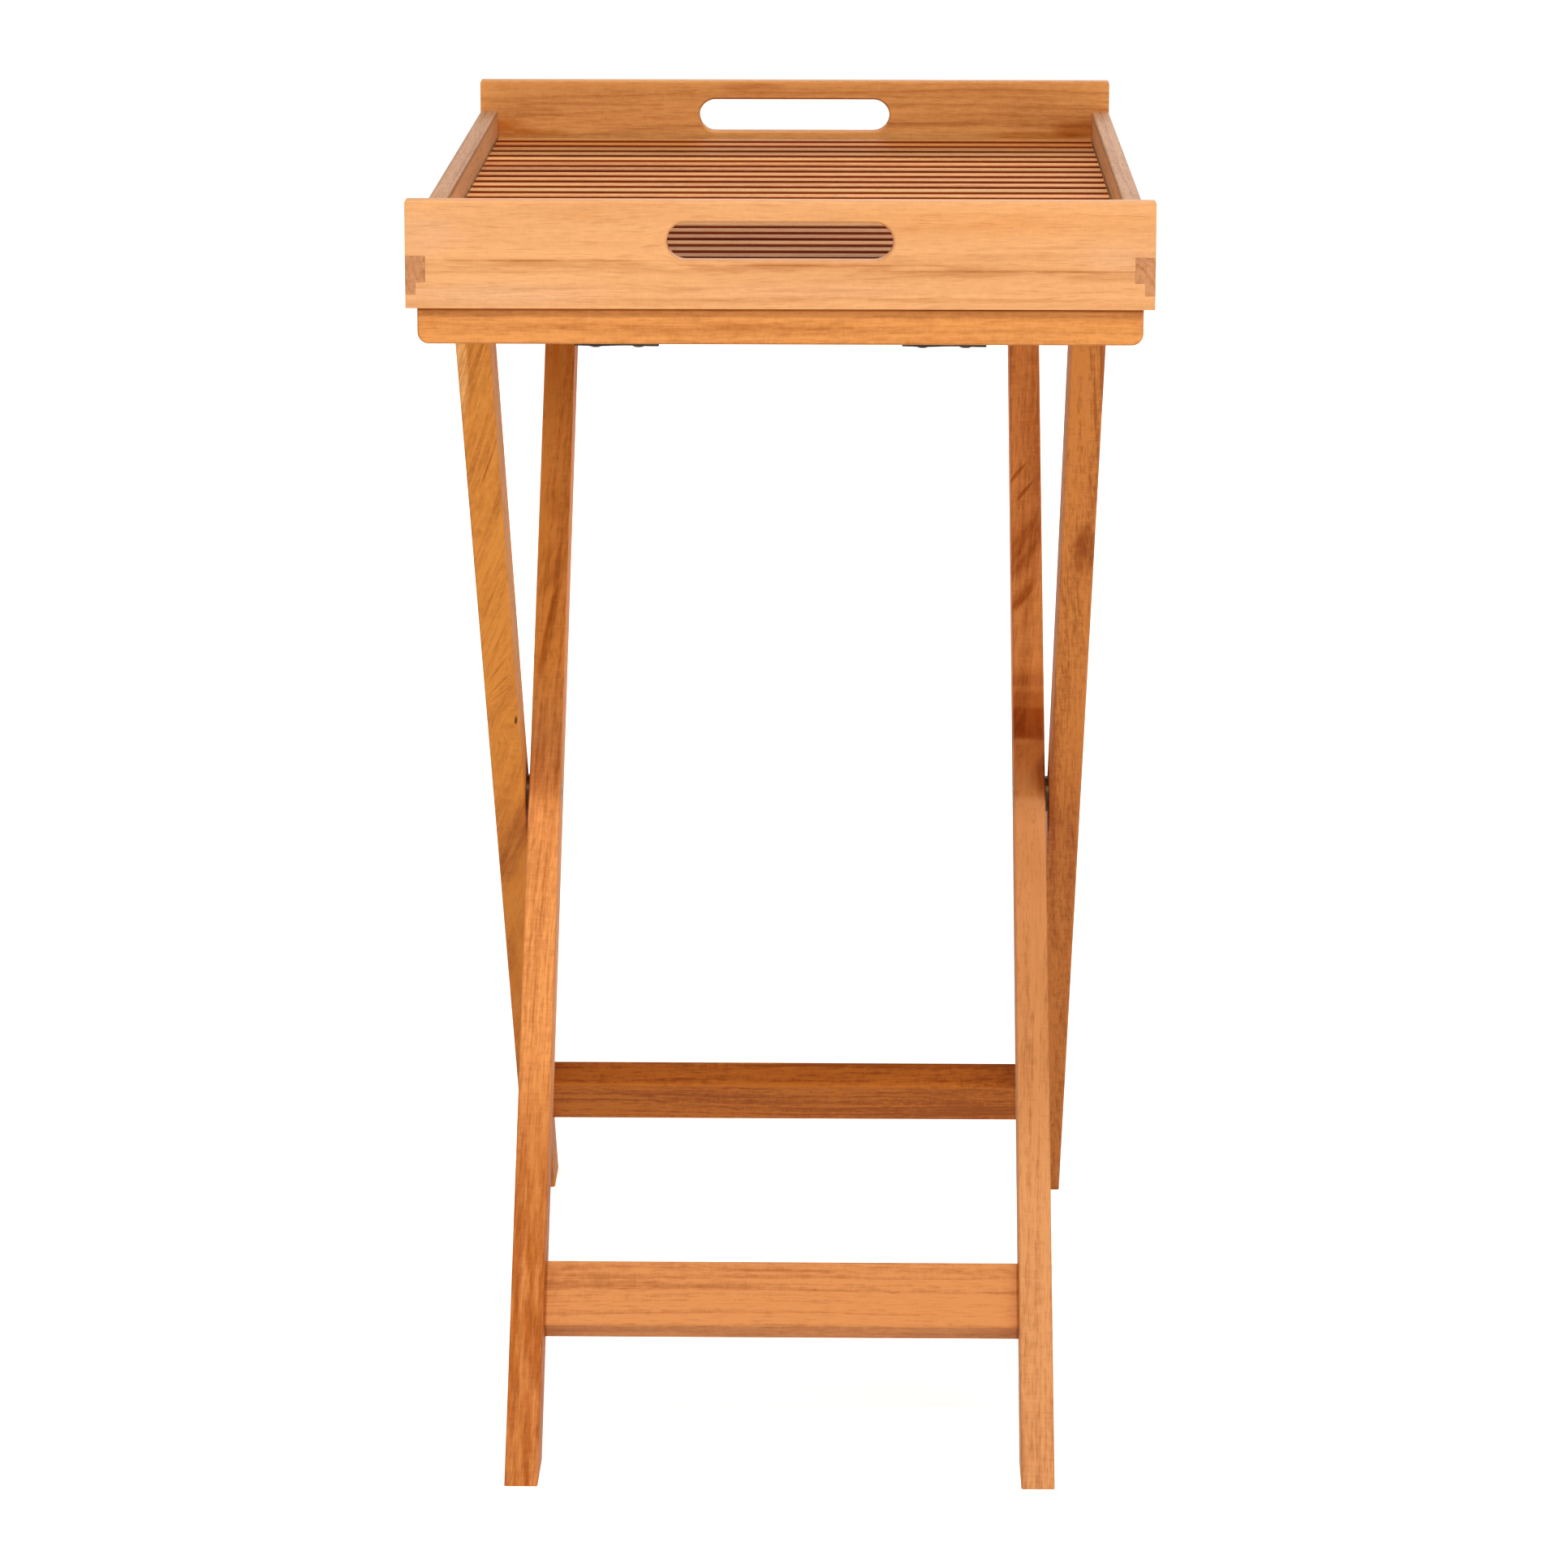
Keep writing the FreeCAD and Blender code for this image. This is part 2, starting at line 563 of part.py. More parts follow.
def make_stand(doc):
    """Both frames of the stand, its pivots, its straps and their screws."""
    pieces = []
    for side, name in ((-1, "left"), (1, "right")):
        pieces.append(make_inner_leg(doc, f"{name}_inner_leg", side))
        pieces.append(make_outer_leg(doc, f"{name}_outer_leg", side))
        pieces.append(make_strap(doc, f"{name}_strap", side))
    pieces += make_pivots(doc)
    pieces.append(make_top_rail(doc, "rear_top_rail", 1, INNER_LEG_FACE))
    pieces.append(make_top_rail(doc, "front_top_rail", -1, OUTER_LEG_FACE))
    pieces.append(make_stretcher(doc, "front_stretcher", 1, INNER_LEG_FACE))
    pieces.append(make_stretcher(doc, "rear_stretcher", -1, OUTER_LEG_FACE))
    pieces.append(make_screws(doc, "front_strap_screws", -1))
    pieces.append(make_screws(doc, "rear_strap_screws", 1))
    return pieces


def check(doc, pieces):
    """Stop if any object failed or any piece has no sound solid."""
    for item in doc.Objects:
        if {"Invalid", "Error"} & set(item.State):
            raise RuntimeError(f"{item.Label} failed: {item.State}")
    for piece in pieces:
        if piece.Shape.isNull() or not piece.Shape.isValid() or not piece.Shape.Solids:
            raise RuntimeError(f"{piece.Label} has no sound solid")


def main():
    doc = FreeCAD.newDocument("TrayTable")
    make_sheet(doc)
    pieces = make_tray(doc) + make_stand(doc)
    doc.recompute()
    check(doc, pieces)
    os.makedirs("parts", exist_ok=True)
    for piece in pieces:
        piece.Shape.exportStep(f"parts/{piece.Label}.step")


main()
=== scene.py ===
"""Looks of the tray table: oiled teak boards, black webbing straps and bronzed fittings on a pale stage."""

import json
import math
import random
from collections import namedtuple

import bmesh
import bpy
from bpy.props import FloatProperty, FloatVectorProperty, PointerProperty
from mathutils import Matrix, Vector


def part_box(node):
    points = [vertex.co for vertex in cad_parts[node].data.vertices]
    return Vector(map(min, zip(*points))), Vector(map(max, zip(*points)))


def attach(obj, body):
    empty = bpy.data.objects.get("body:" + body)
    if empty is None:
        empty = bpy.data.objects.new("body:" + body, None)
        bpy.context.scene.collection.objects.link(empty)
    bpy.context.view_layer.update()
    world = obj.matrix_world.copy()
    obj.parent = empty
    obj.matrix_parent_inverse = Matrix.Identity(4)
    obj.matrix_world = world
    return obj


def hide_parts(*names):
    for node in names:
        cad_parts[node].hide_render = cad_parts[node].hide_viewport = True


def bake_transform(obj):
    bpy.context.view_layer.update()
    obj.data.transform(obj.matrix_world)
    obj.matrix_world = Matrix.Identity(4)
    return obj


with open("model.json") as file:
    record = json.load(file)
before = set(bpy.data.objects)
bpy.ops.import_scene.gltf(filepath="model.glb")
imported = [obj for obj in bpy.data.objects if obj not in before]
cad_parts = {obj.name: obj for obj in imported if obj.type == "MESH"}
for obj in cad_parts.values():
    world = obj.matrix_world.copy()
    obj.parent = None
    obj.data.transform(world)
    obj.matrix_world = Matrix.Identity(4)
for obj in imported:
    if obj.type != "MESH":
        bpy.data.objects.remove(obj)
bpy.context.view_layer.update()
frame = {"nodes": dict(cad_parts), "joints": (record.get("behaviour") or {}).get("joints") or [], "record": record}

bl_info = {
    "name": "Tray Table Looks",
    "version": (1, 0, 0),
    "blender": (4, 5, 0),
    "location": "View3D > Sidebar > Tray Table",
    "description": "Teak, webbing and fittings of a slatted tray table, with its stage",
    "category": "Object",
}

# The image for which the camera is set, in pixels
IMAGE_WIDTH = 1932

# How a piece is sawn: its long direction, how far its grain runs out sideways, the place of the tree's heart
# from the piece's middle in metres, the setting that holds its colour, how strongly its rings and streaks
# show, and how far its grain wanders in metres
Cut = namedtuple("Cut", "run lean heart colour rings streaks wander")


def leg_slope(lean):
    """Direction of a leg's grain, from its foot up past the pivot; lean is 1 where it rises to the back."""
    foot = frame["record"]["mounts"][0]["pos_m"]
    pivot = frame["joints"][0]["pos_m"]
    return Vector((0, -lean * foot[1], pivot[2])).normalized()


ACROSS = Vector((1, 0, 0))
ALONG = Vector((0, 1, 0))
UP = Vector((0, 0, 1))
UP_TO_BACK = leg_slope(1)
UP_TO_FRONT = leg_slope(-1)

TRAY_CUTS = {
    "front_end_board": Cut(ACROSS, 0.01, (0, 0.075, 0.014), "front_board", 0.25, 0.34, 0.02),
    "rear_end_board": Cut(ACROSS, 0, (0, 0.05, -0.03), "rear_board", 0.35, 0.65, 0.03),
    "left_side_rail": Cut(ALONG, 0, (0.05, 0, 0.02), "side_rails", 0.4, 0.8, 0.02),
    "right_side_rail": Cut(ALONG, 0, (-0.045, 0, -0.03), "side_rails", 0.4, 0.8, 0.02),
}
STAND_CUTS = {
    "front_top_rail": Cut(ACROSS, 0, (0, 0.06, -0.035), "top_rails", 0.35, 0.8, 0.02),
    "rear_top_rail": Cut(ACROSS, 0, (0, 0.05, 0.03), "top_rails", 0.4, 0.8, 0.02),
    "left_outer_leg": Cut(UP_TO_FRONT, 0.28, (0.03, 0.04, 0.02), "left_outer_leg", 0.32, 0.85, 0.06),
    "right_outer_leg": Cut(UP_TO_FRONT, -0.04, (-0.05, 0.03, 0.03), "right_outer_leg", 0.2, 1.5, 0.03),
    "left_inner_leg": Cut(UP_TO_BACK, 0.05, (0.045, 0.02, -0.02), "left_inner_leg", 0.3, 1.1, 0.03),
    "right_inner_leg": Cut(UP_TO_BACK, 0.04, (-0.03, 0.05, -0.06), "right_inner_leg", 0.25, 1, 0.03),
    "front_stretcher": Cut(ACROSS, 0, (0, 0.05, 0.03), "front_stretcher", 0.4, 0.9, 0.03),
    "rear_stretcher": Cut(ACROSS, 0, (0, 0.04, -0.03), "rear_stretcher", 0.5, 1.8, 0.03),
}

# A darker or paler patch of wood: its place from the piece's middle and its half sizes (along the piece,
# sideways and outward, in metres), how far it leans sideways, how strong and how ragged it is, how much of
# it is the fading edge, and the tint that it takes, which is the stain where none is given; some patches
# are painted shade or painted light rather than the wood's own colour
Patch = namedtuple("Patch", "place size lean depth ragged fade tint", defaults=(0.55, None))
# Tints of the patches: what they keep of a board's red, green and blue
PALE = (1.02, 1.13, 1.4)
GOLDEN = (0.97, 0.88, 0.74)
SAPWOOD = (1.4, 1.9, 4)
# Painted shade: warmer colour of the inner left leg's upper part, under the tray
LEFT_LEG_WARM_SHADE = (1.15, 1, 0.62)
# Painted light: lifts and warms the inner right leg's upper part, under the tray
RIGHT_LEG_WARM_LIGHT = (1.4, 1.1, 0.77)
AMBER = (0.66, 0.38, 0.01)
# Painted shade on the side rails' top faces
RAIL_TOP_SHADE = (0.65, 0.66, 0.75)
# Dark tint of a knot's eye, and of the painted shadow under the tray on the front top rail
KNOT_EYE_AND_SHADOW = (0.12, 0.07, 0.04)
# The patches of each piece, in rows of a Patch's values
PATCHES = {
    "front_end_board": (
        ((-0.17, -0.007, -0.024), (0.1, 0.02, 0.012), 0, 0.8, 0.4, 0.8, PALE),
        ((-0.215, -0.007, 0.012), (0.04, 0.02, 0.02), 0, 0.8, 0.4, 0.9, PALE),
        ((0.205, -0.007, -0.001), (0.045, 0.02, 0.014), 0, 0.7, 0.5, 0.9, PALE),
        ((0.01, -0.007, -0.022), (0.12, 0.02, 0.009), 0, 0.5, 0.5, 0.9, PALE),
        ((0.12, -0.007, 0.02), (0.15, 0.02, 0.013), 0, 0.9, 0.6, 0.8, GOLDEN),
        ((-0.1, -0.007, 0.024), (0.06, 0.02, 0.006), 0, 0.6, 0.8, 0.8, GOLDEN),
        ((-0.13, -0.007, -0.005), (0.16, 0.02, 0.004), 0, 0.42, 1),
        ((0.03, -0.007, -0.008), (0.18, 0.02, 0.005), 0, 0.45, 1),
        ((0.17, -0.007, -0.012), (0.13, 0.02, 0.005), 0, 0.42, 1),
        ((-0.06, -0.007, -0.021), (0.16, 0.02, 0.0022), 0, 0.42, 1),
        ((0.05, -0.007, -0.027), (0.22, 0.02, 0.0022), 0, 0.4, 1),
        ((-0.14, -0.007, -0.0035), (0.1, 0.02, 0.0009), 0, 0.7, 0.8),
        ((0.02, -0.007, -0.006), (0.12, 0.02, 0.0009), 0, 0.6, 0.8),
        ((0.14, -0.007, -0.0095), (0.1, 0.02, 0.001), 0, 0.6, 0.8),
    ),
    "rear_end_board": (
        ((-0.215, -0.007, -0.001), (0.034, 0.02, 0.011), 0, 1, 0.7, 0.9, AMBER),
        ((-0.195, -0.007, -0.005), (0.05, 0.02, 0.004), 0, 1, 0.7, 0.7, AMBER),
        ((0.205, -0.007, -0.002), (0.028, 0.02, 0.008), 0, 0.7, 0.4, 0.5, AMBER),
        ((0.175, -0.007, -0.006), (0.05, 0.02, 0.004), 0, 0.7, 0.5, 0.5, AMBER),
        ((-0.03, -0.007, 0.028), (0.03, 0.02, 0.005), 0, 0.6, 0.8),
        ((0.15, -0.007, 0.005), (0.12, 0.02, 0.008), 0, 0.4, 1),
    ),
    "left_side_rail": (
        # Painted shade: the rail's top face darkened
        ((0, 0, -0.0217), (2, 0.2, 0.004), 0, 1, 0.1, 0.4, RAIL_TOP_SHADE),
    ),
    "right_side_rail": (
        # Painted shade: the rail's top face darkened
        ((0, 0, -0.0217), (2, 0.2, 0.004), 0, 1, 0.1, 0.4, RAIL_TOP_SHADE),
    ),
    "front_top_rail": (
        # Painted shadow: a dark line along the top of the front face, under the tray's front board
        ((0, -0.031, 0.0105), (2, 0.004, 0.002), 0, 0.9, 0),
        # Painted shadow under the tray along the right half of the rail's top edge
        ((0.115, -0.031, 0.0112), (0.125, 0.02, 0.0016), 0, 1, 0, 0.4, KNOT_EYE_AND_SHADOW),
        ((-0.04, -0.031, 0), (0.2, 0.02, 0.003), 0, 0.35, 1),
    ),
    "front_stretcher": (
        ((-0.152, 0, 0), (0.0022, 0.1, 0.1), 0, 0.9, 0.2),
        ((0.152, 0, 0), (0.0022, 0.1, 0.1), 0, 0.9, 0.2),
    ),
    "rear_stretcher": (
        # Painted shade: the upper front edge darkened along the whole length, under the tray
        ((0, -0.0146, 0.0168), (2, 0.012, 0.012), 0, 0.5, 0.4),
    ),
    "left_inner_leg": (
        # Painted shade under the tray: the upper part warmer, and darker towards the top
        ((0.32, 0, 0), (0.32, 0.1, 0.1), 0, 1, 0.2, 0.3, LEFT_LEG_WARM_SHADE),
        ((0.43, 0, 0), (0.19, 0.1, 0.1), 0, 0.8, 0.5),
        ((0.216, 0.002, -0.02), (0.02, 0.012, 0.03), 0, 0.5, 0.9),
        ((0.163, -0.002, -0.02), (0.03, 0.012, 0.03), 0.2, 0.55, 0.9),
        ((0.115, -0.001, -0.02), (0.055, 0.004, 0.02), 0.14, 0.9, 0.5),
        ((0.008, 0.003, -0.02), (0.035, 0.02, 0.04), 0, 0.6, 0.8),
        ((-0.42, 0, 0), (0.26, 0.1, 0.1), 0, 1, 0.5),
    ),
    "right_inner_leg": (
        # Painted light: the upper part, under the tray, lighter and warmer
        ((0.32, 0, 0), (0.33, 0.1, 0.1), 0, 1, 0.2, 0.12, RIGHT_LEG_WARM_LIGHT),
        ((0.24, -0.006, -0.02), (0.014, 0.002, 0.02), 0.7, 1, 0.5),
        ((0.226, -0.001, -0.02), (0.014, 0.002, 0.02), 0.7, 0.9, 0.5),
        ((0.18, -0.003, -0.02), (0.04, 0.014, 0.03), 0.5, 0.8, 0.6),
        ((0.142, -0.004, -0.02), (0.02, 0.006, 0.02), 0.7, 1, 0.7),
        ((0.077, 0, -0.02), (0.006, 0.05, 0.05), 0, 0.5, 0.6),
        ((0.0435, 0, -0.02), (0.0145, 0.06, 0.06), 0, 0.8, 0.3, 0.3, AMBER),
        ((0.05, 0, -0.02), (0.021, 0.08, 0.08), 0, 0.5, 0.3, 0.25, AMBER),
        ((0.06, 0, -0.02), (0.031, 0.1, 0.1), 0, 0.35, 0.3, 0.25, AMBER),
        ((0.008, 0, -0.02), (0.024, 0.08, 0.08), 0, 0.5, 0.3, 0.25, AMBER),
        ((0.003, 0.008, -0.02), (0.018, 0.008, 0.04), 0, 0.7, 0.5, 0.55, AMBER),
        ((-0.12, 0, 0), (0.2, 0.1, 0.1), 0, 0.4, 0.3),
    ),
    "right_outer_leg": (
        ((0.29, 0.004, -0.02), (0.036, 0.01, 0.02), 0, 1, 0.8),
        ((0.355, 0.006, -0.02), (0.012, 0.003, 0.02), 0, 0.5, 1),
        # Painted shade: darker below the crossing, under the tray
        ((-0.2, 0, 0), (0.36, 0.1, 0.1), 0, 0.35, 0.5),
    ),
    "left_outer_leg": (
        ((0.52, -0.0105, -0.02), (0.12, 0.0085, 0.03), 0, 1, 0.15, 0.3, SAPWOOD),
        ((0.107, 0.0085, -0.0195), (0.0065, 0.0014, 0.01), 0.1, 1, 0.3, 0.5, KNOT_EYE_AND_SHADOW),
        ((0.1, 0.003, -0.02), (0.004, 0.007, 0.02), 0, 0.45, 0.6),
        # Painted shadow next to the crossing with the inner leg
        ((-0.04, 0.004, -0.02), (0.05, 0.02, 0.03), 0.3, 0.6, 0.8),
        ((0.305, -0.007, -0.02), (0.006, 0.006, 0.02), 0, 0.5, 1),
        # Painted shade: darker below the crossing, under the tray
        ((-0.28, 0, 0), (0.3, 0.1, 0.1), 0, 0.6, 0.5),
        ((0.37, 0.003, -0.02), (0.03, 0.0008, 0.02), 0.28, 0.7, 0.5),
        ((0.235, -0.002, -0.02), (0.03, 0.0012, 0.02), 0.3, 0.6, 0.5),
        ((0.195, 0.002, -0.02), (0.022, 0.0008, 0.02), 0.36, 0.6, 0.5),
        ((0.162, -0.001, -0.02), (0.02, 0.0008, 0.02), 0.5, 0.65, 0.4),
        ((0.147, 0, -0.02), (0.018, 0.0007, 0.02), 0.65, 0.65, 0.4),
        ((0.135, -0.001, -0.02), (0.016, 0.0008, 0.02), 0.8, 0.6, 0.4),
    ),
}
# A knot that the grain runs round: its place as for a patch and its reach in metres
Knot = namedtuple("Knot", "place reach")
KNOTS = {
    "left_outer_leg": Knot((0.1, 0.01, -0.0195), 0.009),
    "right_inner_leg": Knot((0.0, 0.004, -0.03), 0.012),
    "front_end_board": Knot((-0.055, -0.007, 0.002), 0.006),
}

# Settings of the noise in the wood's figure: cells a metre along, across and through the grain, and detail
GRAIN_WANDER = ((1.6, 7, 7), 2)
PATCH_EDGE = ((24, 190, 190), 5)
# Between which levels of that noise a ragged patch breaks off
PATCH_BREAKS = (0.35, 0.65)
FIGURE_NOISE = {
    "uneven": ((1.5, 30, 30), 1),
    "streak": ((2.5, 170, 170), 5),
    "fibre": ((45, 900, 900), 3),
    "tone": ((3, 34, 34), 4),
    "speckle": ((130, 420, 420), 4),
    "ray": ((620, 90, 260), 2),
    "cluster": ((2, 40, 40), 1),
    "lines": ((4, 300, 300), 3),
    "pores": ((60, 1300, 1300), 1),
}
NOISE_MEAN = 0.5
# Between which levels of its noise a mark sets in
MARKS = {"cluster": (0.45, 0.65), "lines": (0.52, 0.68), "pores": (0.58, 0.7)}
# How strongly each noise swings a board between its pale and its late wood, and how much the lines add
MOTTLE = {"streak": 1.7, "tone": 2, "fibre": 1.1, "speckle": 1.3, "ray": 0.6}
LINES_DEPTH = 0.55
# How many years the rings stray, and the shares of a year at which late wood starts, is full and ends
RING_STRAY = 2.2
LATE_START = 0.25
LATE_FULL = 0.92
LATE_END = 0.93
FAINTEST_RING = 0.25
# How much of the late wood's colour is everywhere and in the pores
LEAST_DEPTH = 0.15
PORE_DEPTH = 0.3
# Roughness of smooth wood, and what fibres, sawn ends and pores add
SMOOTH_WOOD = 0.5
FIBRE_ROUGHNESS = 0.14
SAWN_ROUGHNESS = 0.15
PORE_ROUGHNESS = 0.1
# Relative heights of fibres and late wood above the pores' depth
FIBRE_HEIGHT = 0.4
LATE_HEIGHT = 0.3
TEAK_BUMP = {"Strength": 0.25, "Distance": 0.0003}
# Between which cosines a face turns into a sawn end, and a slat's top into its side, where shade is painted
SAWN_END = (0.75, 0.95)
SLAT_SHADE_EDGE = (0.03, 0.5)
# How much of the way along the grain the bend round a knot leaves out
KNOT_STRETCH = 0.35
# Half the length of trunk from which the pieces are taken, in metres
TRUNK_REACH = 20

SLATS = sorted(name for name in frame["nodes"] if name.startswith("slat_"))
# Where the slats behind the front board, which are darkened as painted shade, end, in metres from the table's
# middle
FRONT_SLATS_END = -0.15
# Lowest and highest brightness, warmth and strength of streaks of a slat
SLAT_TONE = (0.76, 1.06)
SLAT_WARMTH = (0.86, 1.16)
SLAT_STREAKS = (1, 1.6)
SLAT_RINGS = 0.4
SLAT_WANDER = 0.02
# Warmth behind the front board and from the middle on, and what the rearmost slat loses of it, as part of the
# painted shade of the front and rear slats
FRONT_WARMTH = 0.84
MIDDLE_WARMTH = 1.04
REAR_WARMTH_LOSS = 0.2
# How far to a side and below a slat the tree's heart can lie, in metres
HEART_ASIDE = 0.05
HEART_BELOW = (0.02, 0.06)

# Seeds of the groups' random draws
TRAY_SEED = 5
SLATS_SEED = 11
STAND_SEED = 23

# The weave: a row's length in yarn pitches, how bluntly yarns bulge, and fuzz and wear in cells a metre
ROW_LENGTH = 1.5
YARN_BULGE = 0.6
FUZZ_SCALE = 2600
FUZZ_HEIGHT = 0.25
WEAR_SCALE = 55
WEAR_EDGE = (0.35, 0.75)
LEAST_WEAR = 0.35
# What the yarns keep of their colour in the hollows, as painted shade, and their roughness from hollows to ridges
HOLLOW_SHADE = 0.35
YARN_ROUGHNESS = (0.62, 0.8)
YARN_GLOSS = 0.3
WEBBING_BUMP = {"Strength": 0.8, "Distance": 0.0004}
# How finely a band is cut up: across, round a fold, along the span and along a hem
BAND_CUTS = 11
FOLD_STEPS = 8
SPAN_CUTS = 120
HEM_CUTS = 8
# The hems' ripple: half waves across the band, and radians a metre along it
RIPPLES = 3
RIPPLE_RUN = 60

# The metal's mottle: cells a metre, where it changes, what dark spots keep of the colour, and roughness
METAL_SCALE = 420
METAL_EDGE = (0.3, 0.7)
DARK_METAL = 0.6
METAL_ROUGHNESS = (0.34, 0.52)
# The pivots' fittings: piece, node, which way the head looks on its side, length and shank's radius in metres
PIVOT_FITTINGS = (
    ("sleeve_nut_pair", "sleeve_nuts", -1, 0.0424, 0.0045),
    ("pivot_bolt_pair", "pivot_bolts", 1, 0.0249, 0.0029),
)
PIVOT_HEAD = 0.002
# Bevel of a pivot's head as a share of its radius
CROWN = 0.1
# A pan head's outline: shares of its radius and of its rise, from the middle of its top to its rim
PAN_HEAD = ((0, 0), (0.5, 0.06), (0.8, 0.3), (0.96, 0.66), (1, 1))
# A screw's shank as a share of its head's radius, and the recess's cutter as a share of the head's rise
SCREW_SHANK = 0.44
RECESS_CUTTER = 1.3
# How far each screw of a row was turned, in radians
SCREW_TURNS = (0.3, 1.1, 0.7, 0.1)
LATHE_STEPS = 32
# Points closer than this are one, in metres
MERGE_DISTANCE = 1e-6

# A lamp's place and its two sides in metres
Lamp = namedtuple("Lamp", "place width height")
KEY_LAMP = Lamp((-0.1, -3.3, 3.8), 1.2, 0.6)
FILL_LAMP = Lamp((2.4, -3.8, 1.6), 2.5, 2.5)
TOP_LAMP = Lamp((0, 0.4, 3.6), 3, 3)
BACK_LAMP = Lamp((0.8, 4.2, 2.4), 2.5, 2)
# What the lamps look at
LAMP_TARGET = Vector((0, 0, 0.5))


def colour(name, description, default):
    """A colour setting."""
    return FloatVectorProperty(name=name, description=description, subtype="COLOR", min=0, max=1,
                               default=default)


def pale_wood(piece, default):
    """The colour setting of a piece's pale wood."""
    return colour(piece.capitalize(), f"Pale wood of the {piece}", default)


def length(name, description, default):
    """A length setting, in metres."""
    return FloatProperty(name=name, description=description, unit="LENGTH", min=0, precision=4,
                         default=default)


def share(name, description, default):
    """A setting from nothing to all."""
    return FloatProperty(name=name, description=description, subtype="FACTOR", min=0, max=1,
                         default=default)


def degrees(name, description, default):
    """An angle setting."""
    return FloatProperty(name=name, description=description, subtype="ANGLE", default=math.radians(default))


class TeakSettings(bpy.types.PropertyGroup):
    """Colours and finish of the wood"""

    front_board: pale_wood("front board", (0.735, 0.353, 0.14))
    rear_board: pale_wood("rear board", (0.66, 0.28, 0.08))
    side_rails: pale_wood("side rails", (0.76, 0.385, 0.17))
    slats: pale_wood("slats", (0.98, 0.455, 0.148))
    # Painted shade: what the slats' sides in the gaps keep of their colour
    slat_sides: colour("Slat sides", "What the slats' sides keep of their colour", (0.25, 0.072, 0.007))
    top_rails: pale_wood("top rails", (0.69, 0.275, 0.073))
    left_outer_leg: pale_wood("left outer leg", (0.74, 0.272, 0.042))
    right_outer_leg: pale_wood("right outer leg", (0.61, 0.205, 0.04))
    left_inner_leg: pale_wood("left inner leg", (0.8, 0.31, 0.084))
    right_inner_leg: pale_wood("right inner leg", (0.655, 0.275, 0.094))
    front_stretcher: pale_wood("front stretcher", (0.64, 0.245, 0.072))
    rear_stretcher: pale_wood("rear stretcher", (0.52, 0.15, 0.017))
    late_wood: colour("Late wood", "What the dark rings keep of a board's colour", (0.62, 0.5, 0.4))
    # Stain of the dark patches, which is also the colour of the patches that are painted shade
    stain: colour("Stain", "What dark patches keep of a board's colour", (0.55, 0.36, 0.13))
    end_grain: colour("End grain", "What sawn ends keep of a board's colour", (0.7, 0.62, 0.6))
    ring_gap: length("Ring gap", "Mean distance between the yearly rings", 0.0042)
    # Painted shade: how light the slats behind the front board and the rearmost slat are drawn
    front_slats: share("Front slats", "How light the slats behind the front board are", 0.5)
    rear_slats: share("Rear slats", "How light the rearmost slat is", 0.66)
    gloss: share("Gloss", "Strength of the oil's sheen", 0.1)
    slat_gloss: share("Slat gloss", "Strength of the sheen on the slats", 0.04)


class WebbingSettings(bpy.types.PropertyGroup):
    """Colour and weave of the straps"""

    yarn: colour("Yarn", "Colour of the yarn", (0.009, 0.009, 0.01))
    thickness: length("Thickness", "Thickness of the band", 0.00125)
    sag: length("Sag", "How far the hems ripple below their straight line", 0.0004)
    hem: length("Hem", "Length that is folded under at each end", 0.042)
    inset: length("Inset", "How far the folds lie behind the edges of the rails", 0.01)
    yarn_pitch: length("Yarn pitch", "Distance between neighbouring yarns", 0.0017)


class FittingSettings(bpy.types.PropertyGroup):
    """Colour and recesses of the screws and pivots"""

    metal: colour("Metal", "Colour of the bronzed metal", (0.16, 0.105, 0.06))
    socket_width: length("Socket width", "Across the flats of the pivots' hexagon sockets", 0.005)
    socket_depth: length("Socket depth", "Depth of the pivots' sockets", 0.0014)
    cross_length: length("Cross length", "Length of each arm pair of the screws' cross recess", 0.0046)
    cross_width: length("Cross width", "Width of the cross recess's arms", 0.0011)


class StageSettings(bpy.types.PropertyGroup):
    """Floor, light and camera"""

    floor_size: length("Floor size", "Side of the floor", 60)
    floor_tone: share("Floor tone", "Lightness of the floor", 0.86)
    floor_glow: share("Floor glow", "How much brighter the camera sees the floor", 0.6)
    key_power: FloatProperty(name="Key", description="Power of the front light", unit="POWER", default=115)
    fill_share: share("Fill", "Power of the side light as a share of the key", 0.42)
    back_share: share("Back", "Power of the rear light as a share of the key", 0.33)
    top_power: FloatProperty(name="Top", description="Power of the top light", unit="POWER", default=14)
    sky: share("Sky", "Level of the even light from all round", 0.5)
    camera_place: FloatVectorProperty(name="Camera place", description="Where the camera stands",
                                      subtype="TRANSLATION", default=(0.05118, -3.74465, 1.23903))
    camera_pitch: degrees("Camera pitch", "How far the camera looks down", 12.011)
    camera_yaw: degrees("Camera yaw", "How far the camera looks to the right", -0.975)
    camera_roll: degrees("Camera roll", "How far the camera leans", 0.015)
    focal_pixels: FloatProperty(name="Focal length", description="Focal length in the image's pixels",
                                default=7029.0)
    centre_pixels: FloatVectorProperty(name="Centre", description="Where the camera's axis meets the image",
                                       size=2, default=(947.3, 843.6))


class TrayTableSettings(bpy.types.PropertyGroup):
    """All settings of the tray table's looks"""

    teak: PointerProperty(type=TeakSettings)
    webbing: PointerProperty(type=WebbingSettings)
    fittings: PointerProperty(type=FittingSettings)
    stage: PointerProperty(type=StageSettings)


def set_sockets(tree, made, sockets):
    """Link or set a shader node's sockets."""
    for socket, value in sockets.items():
        if isinstance(value, bpy.types.NodeSocket):
            tree.links.new(value, made.inputs[socket])
        else:
            made.inputs[socket].default_value = value


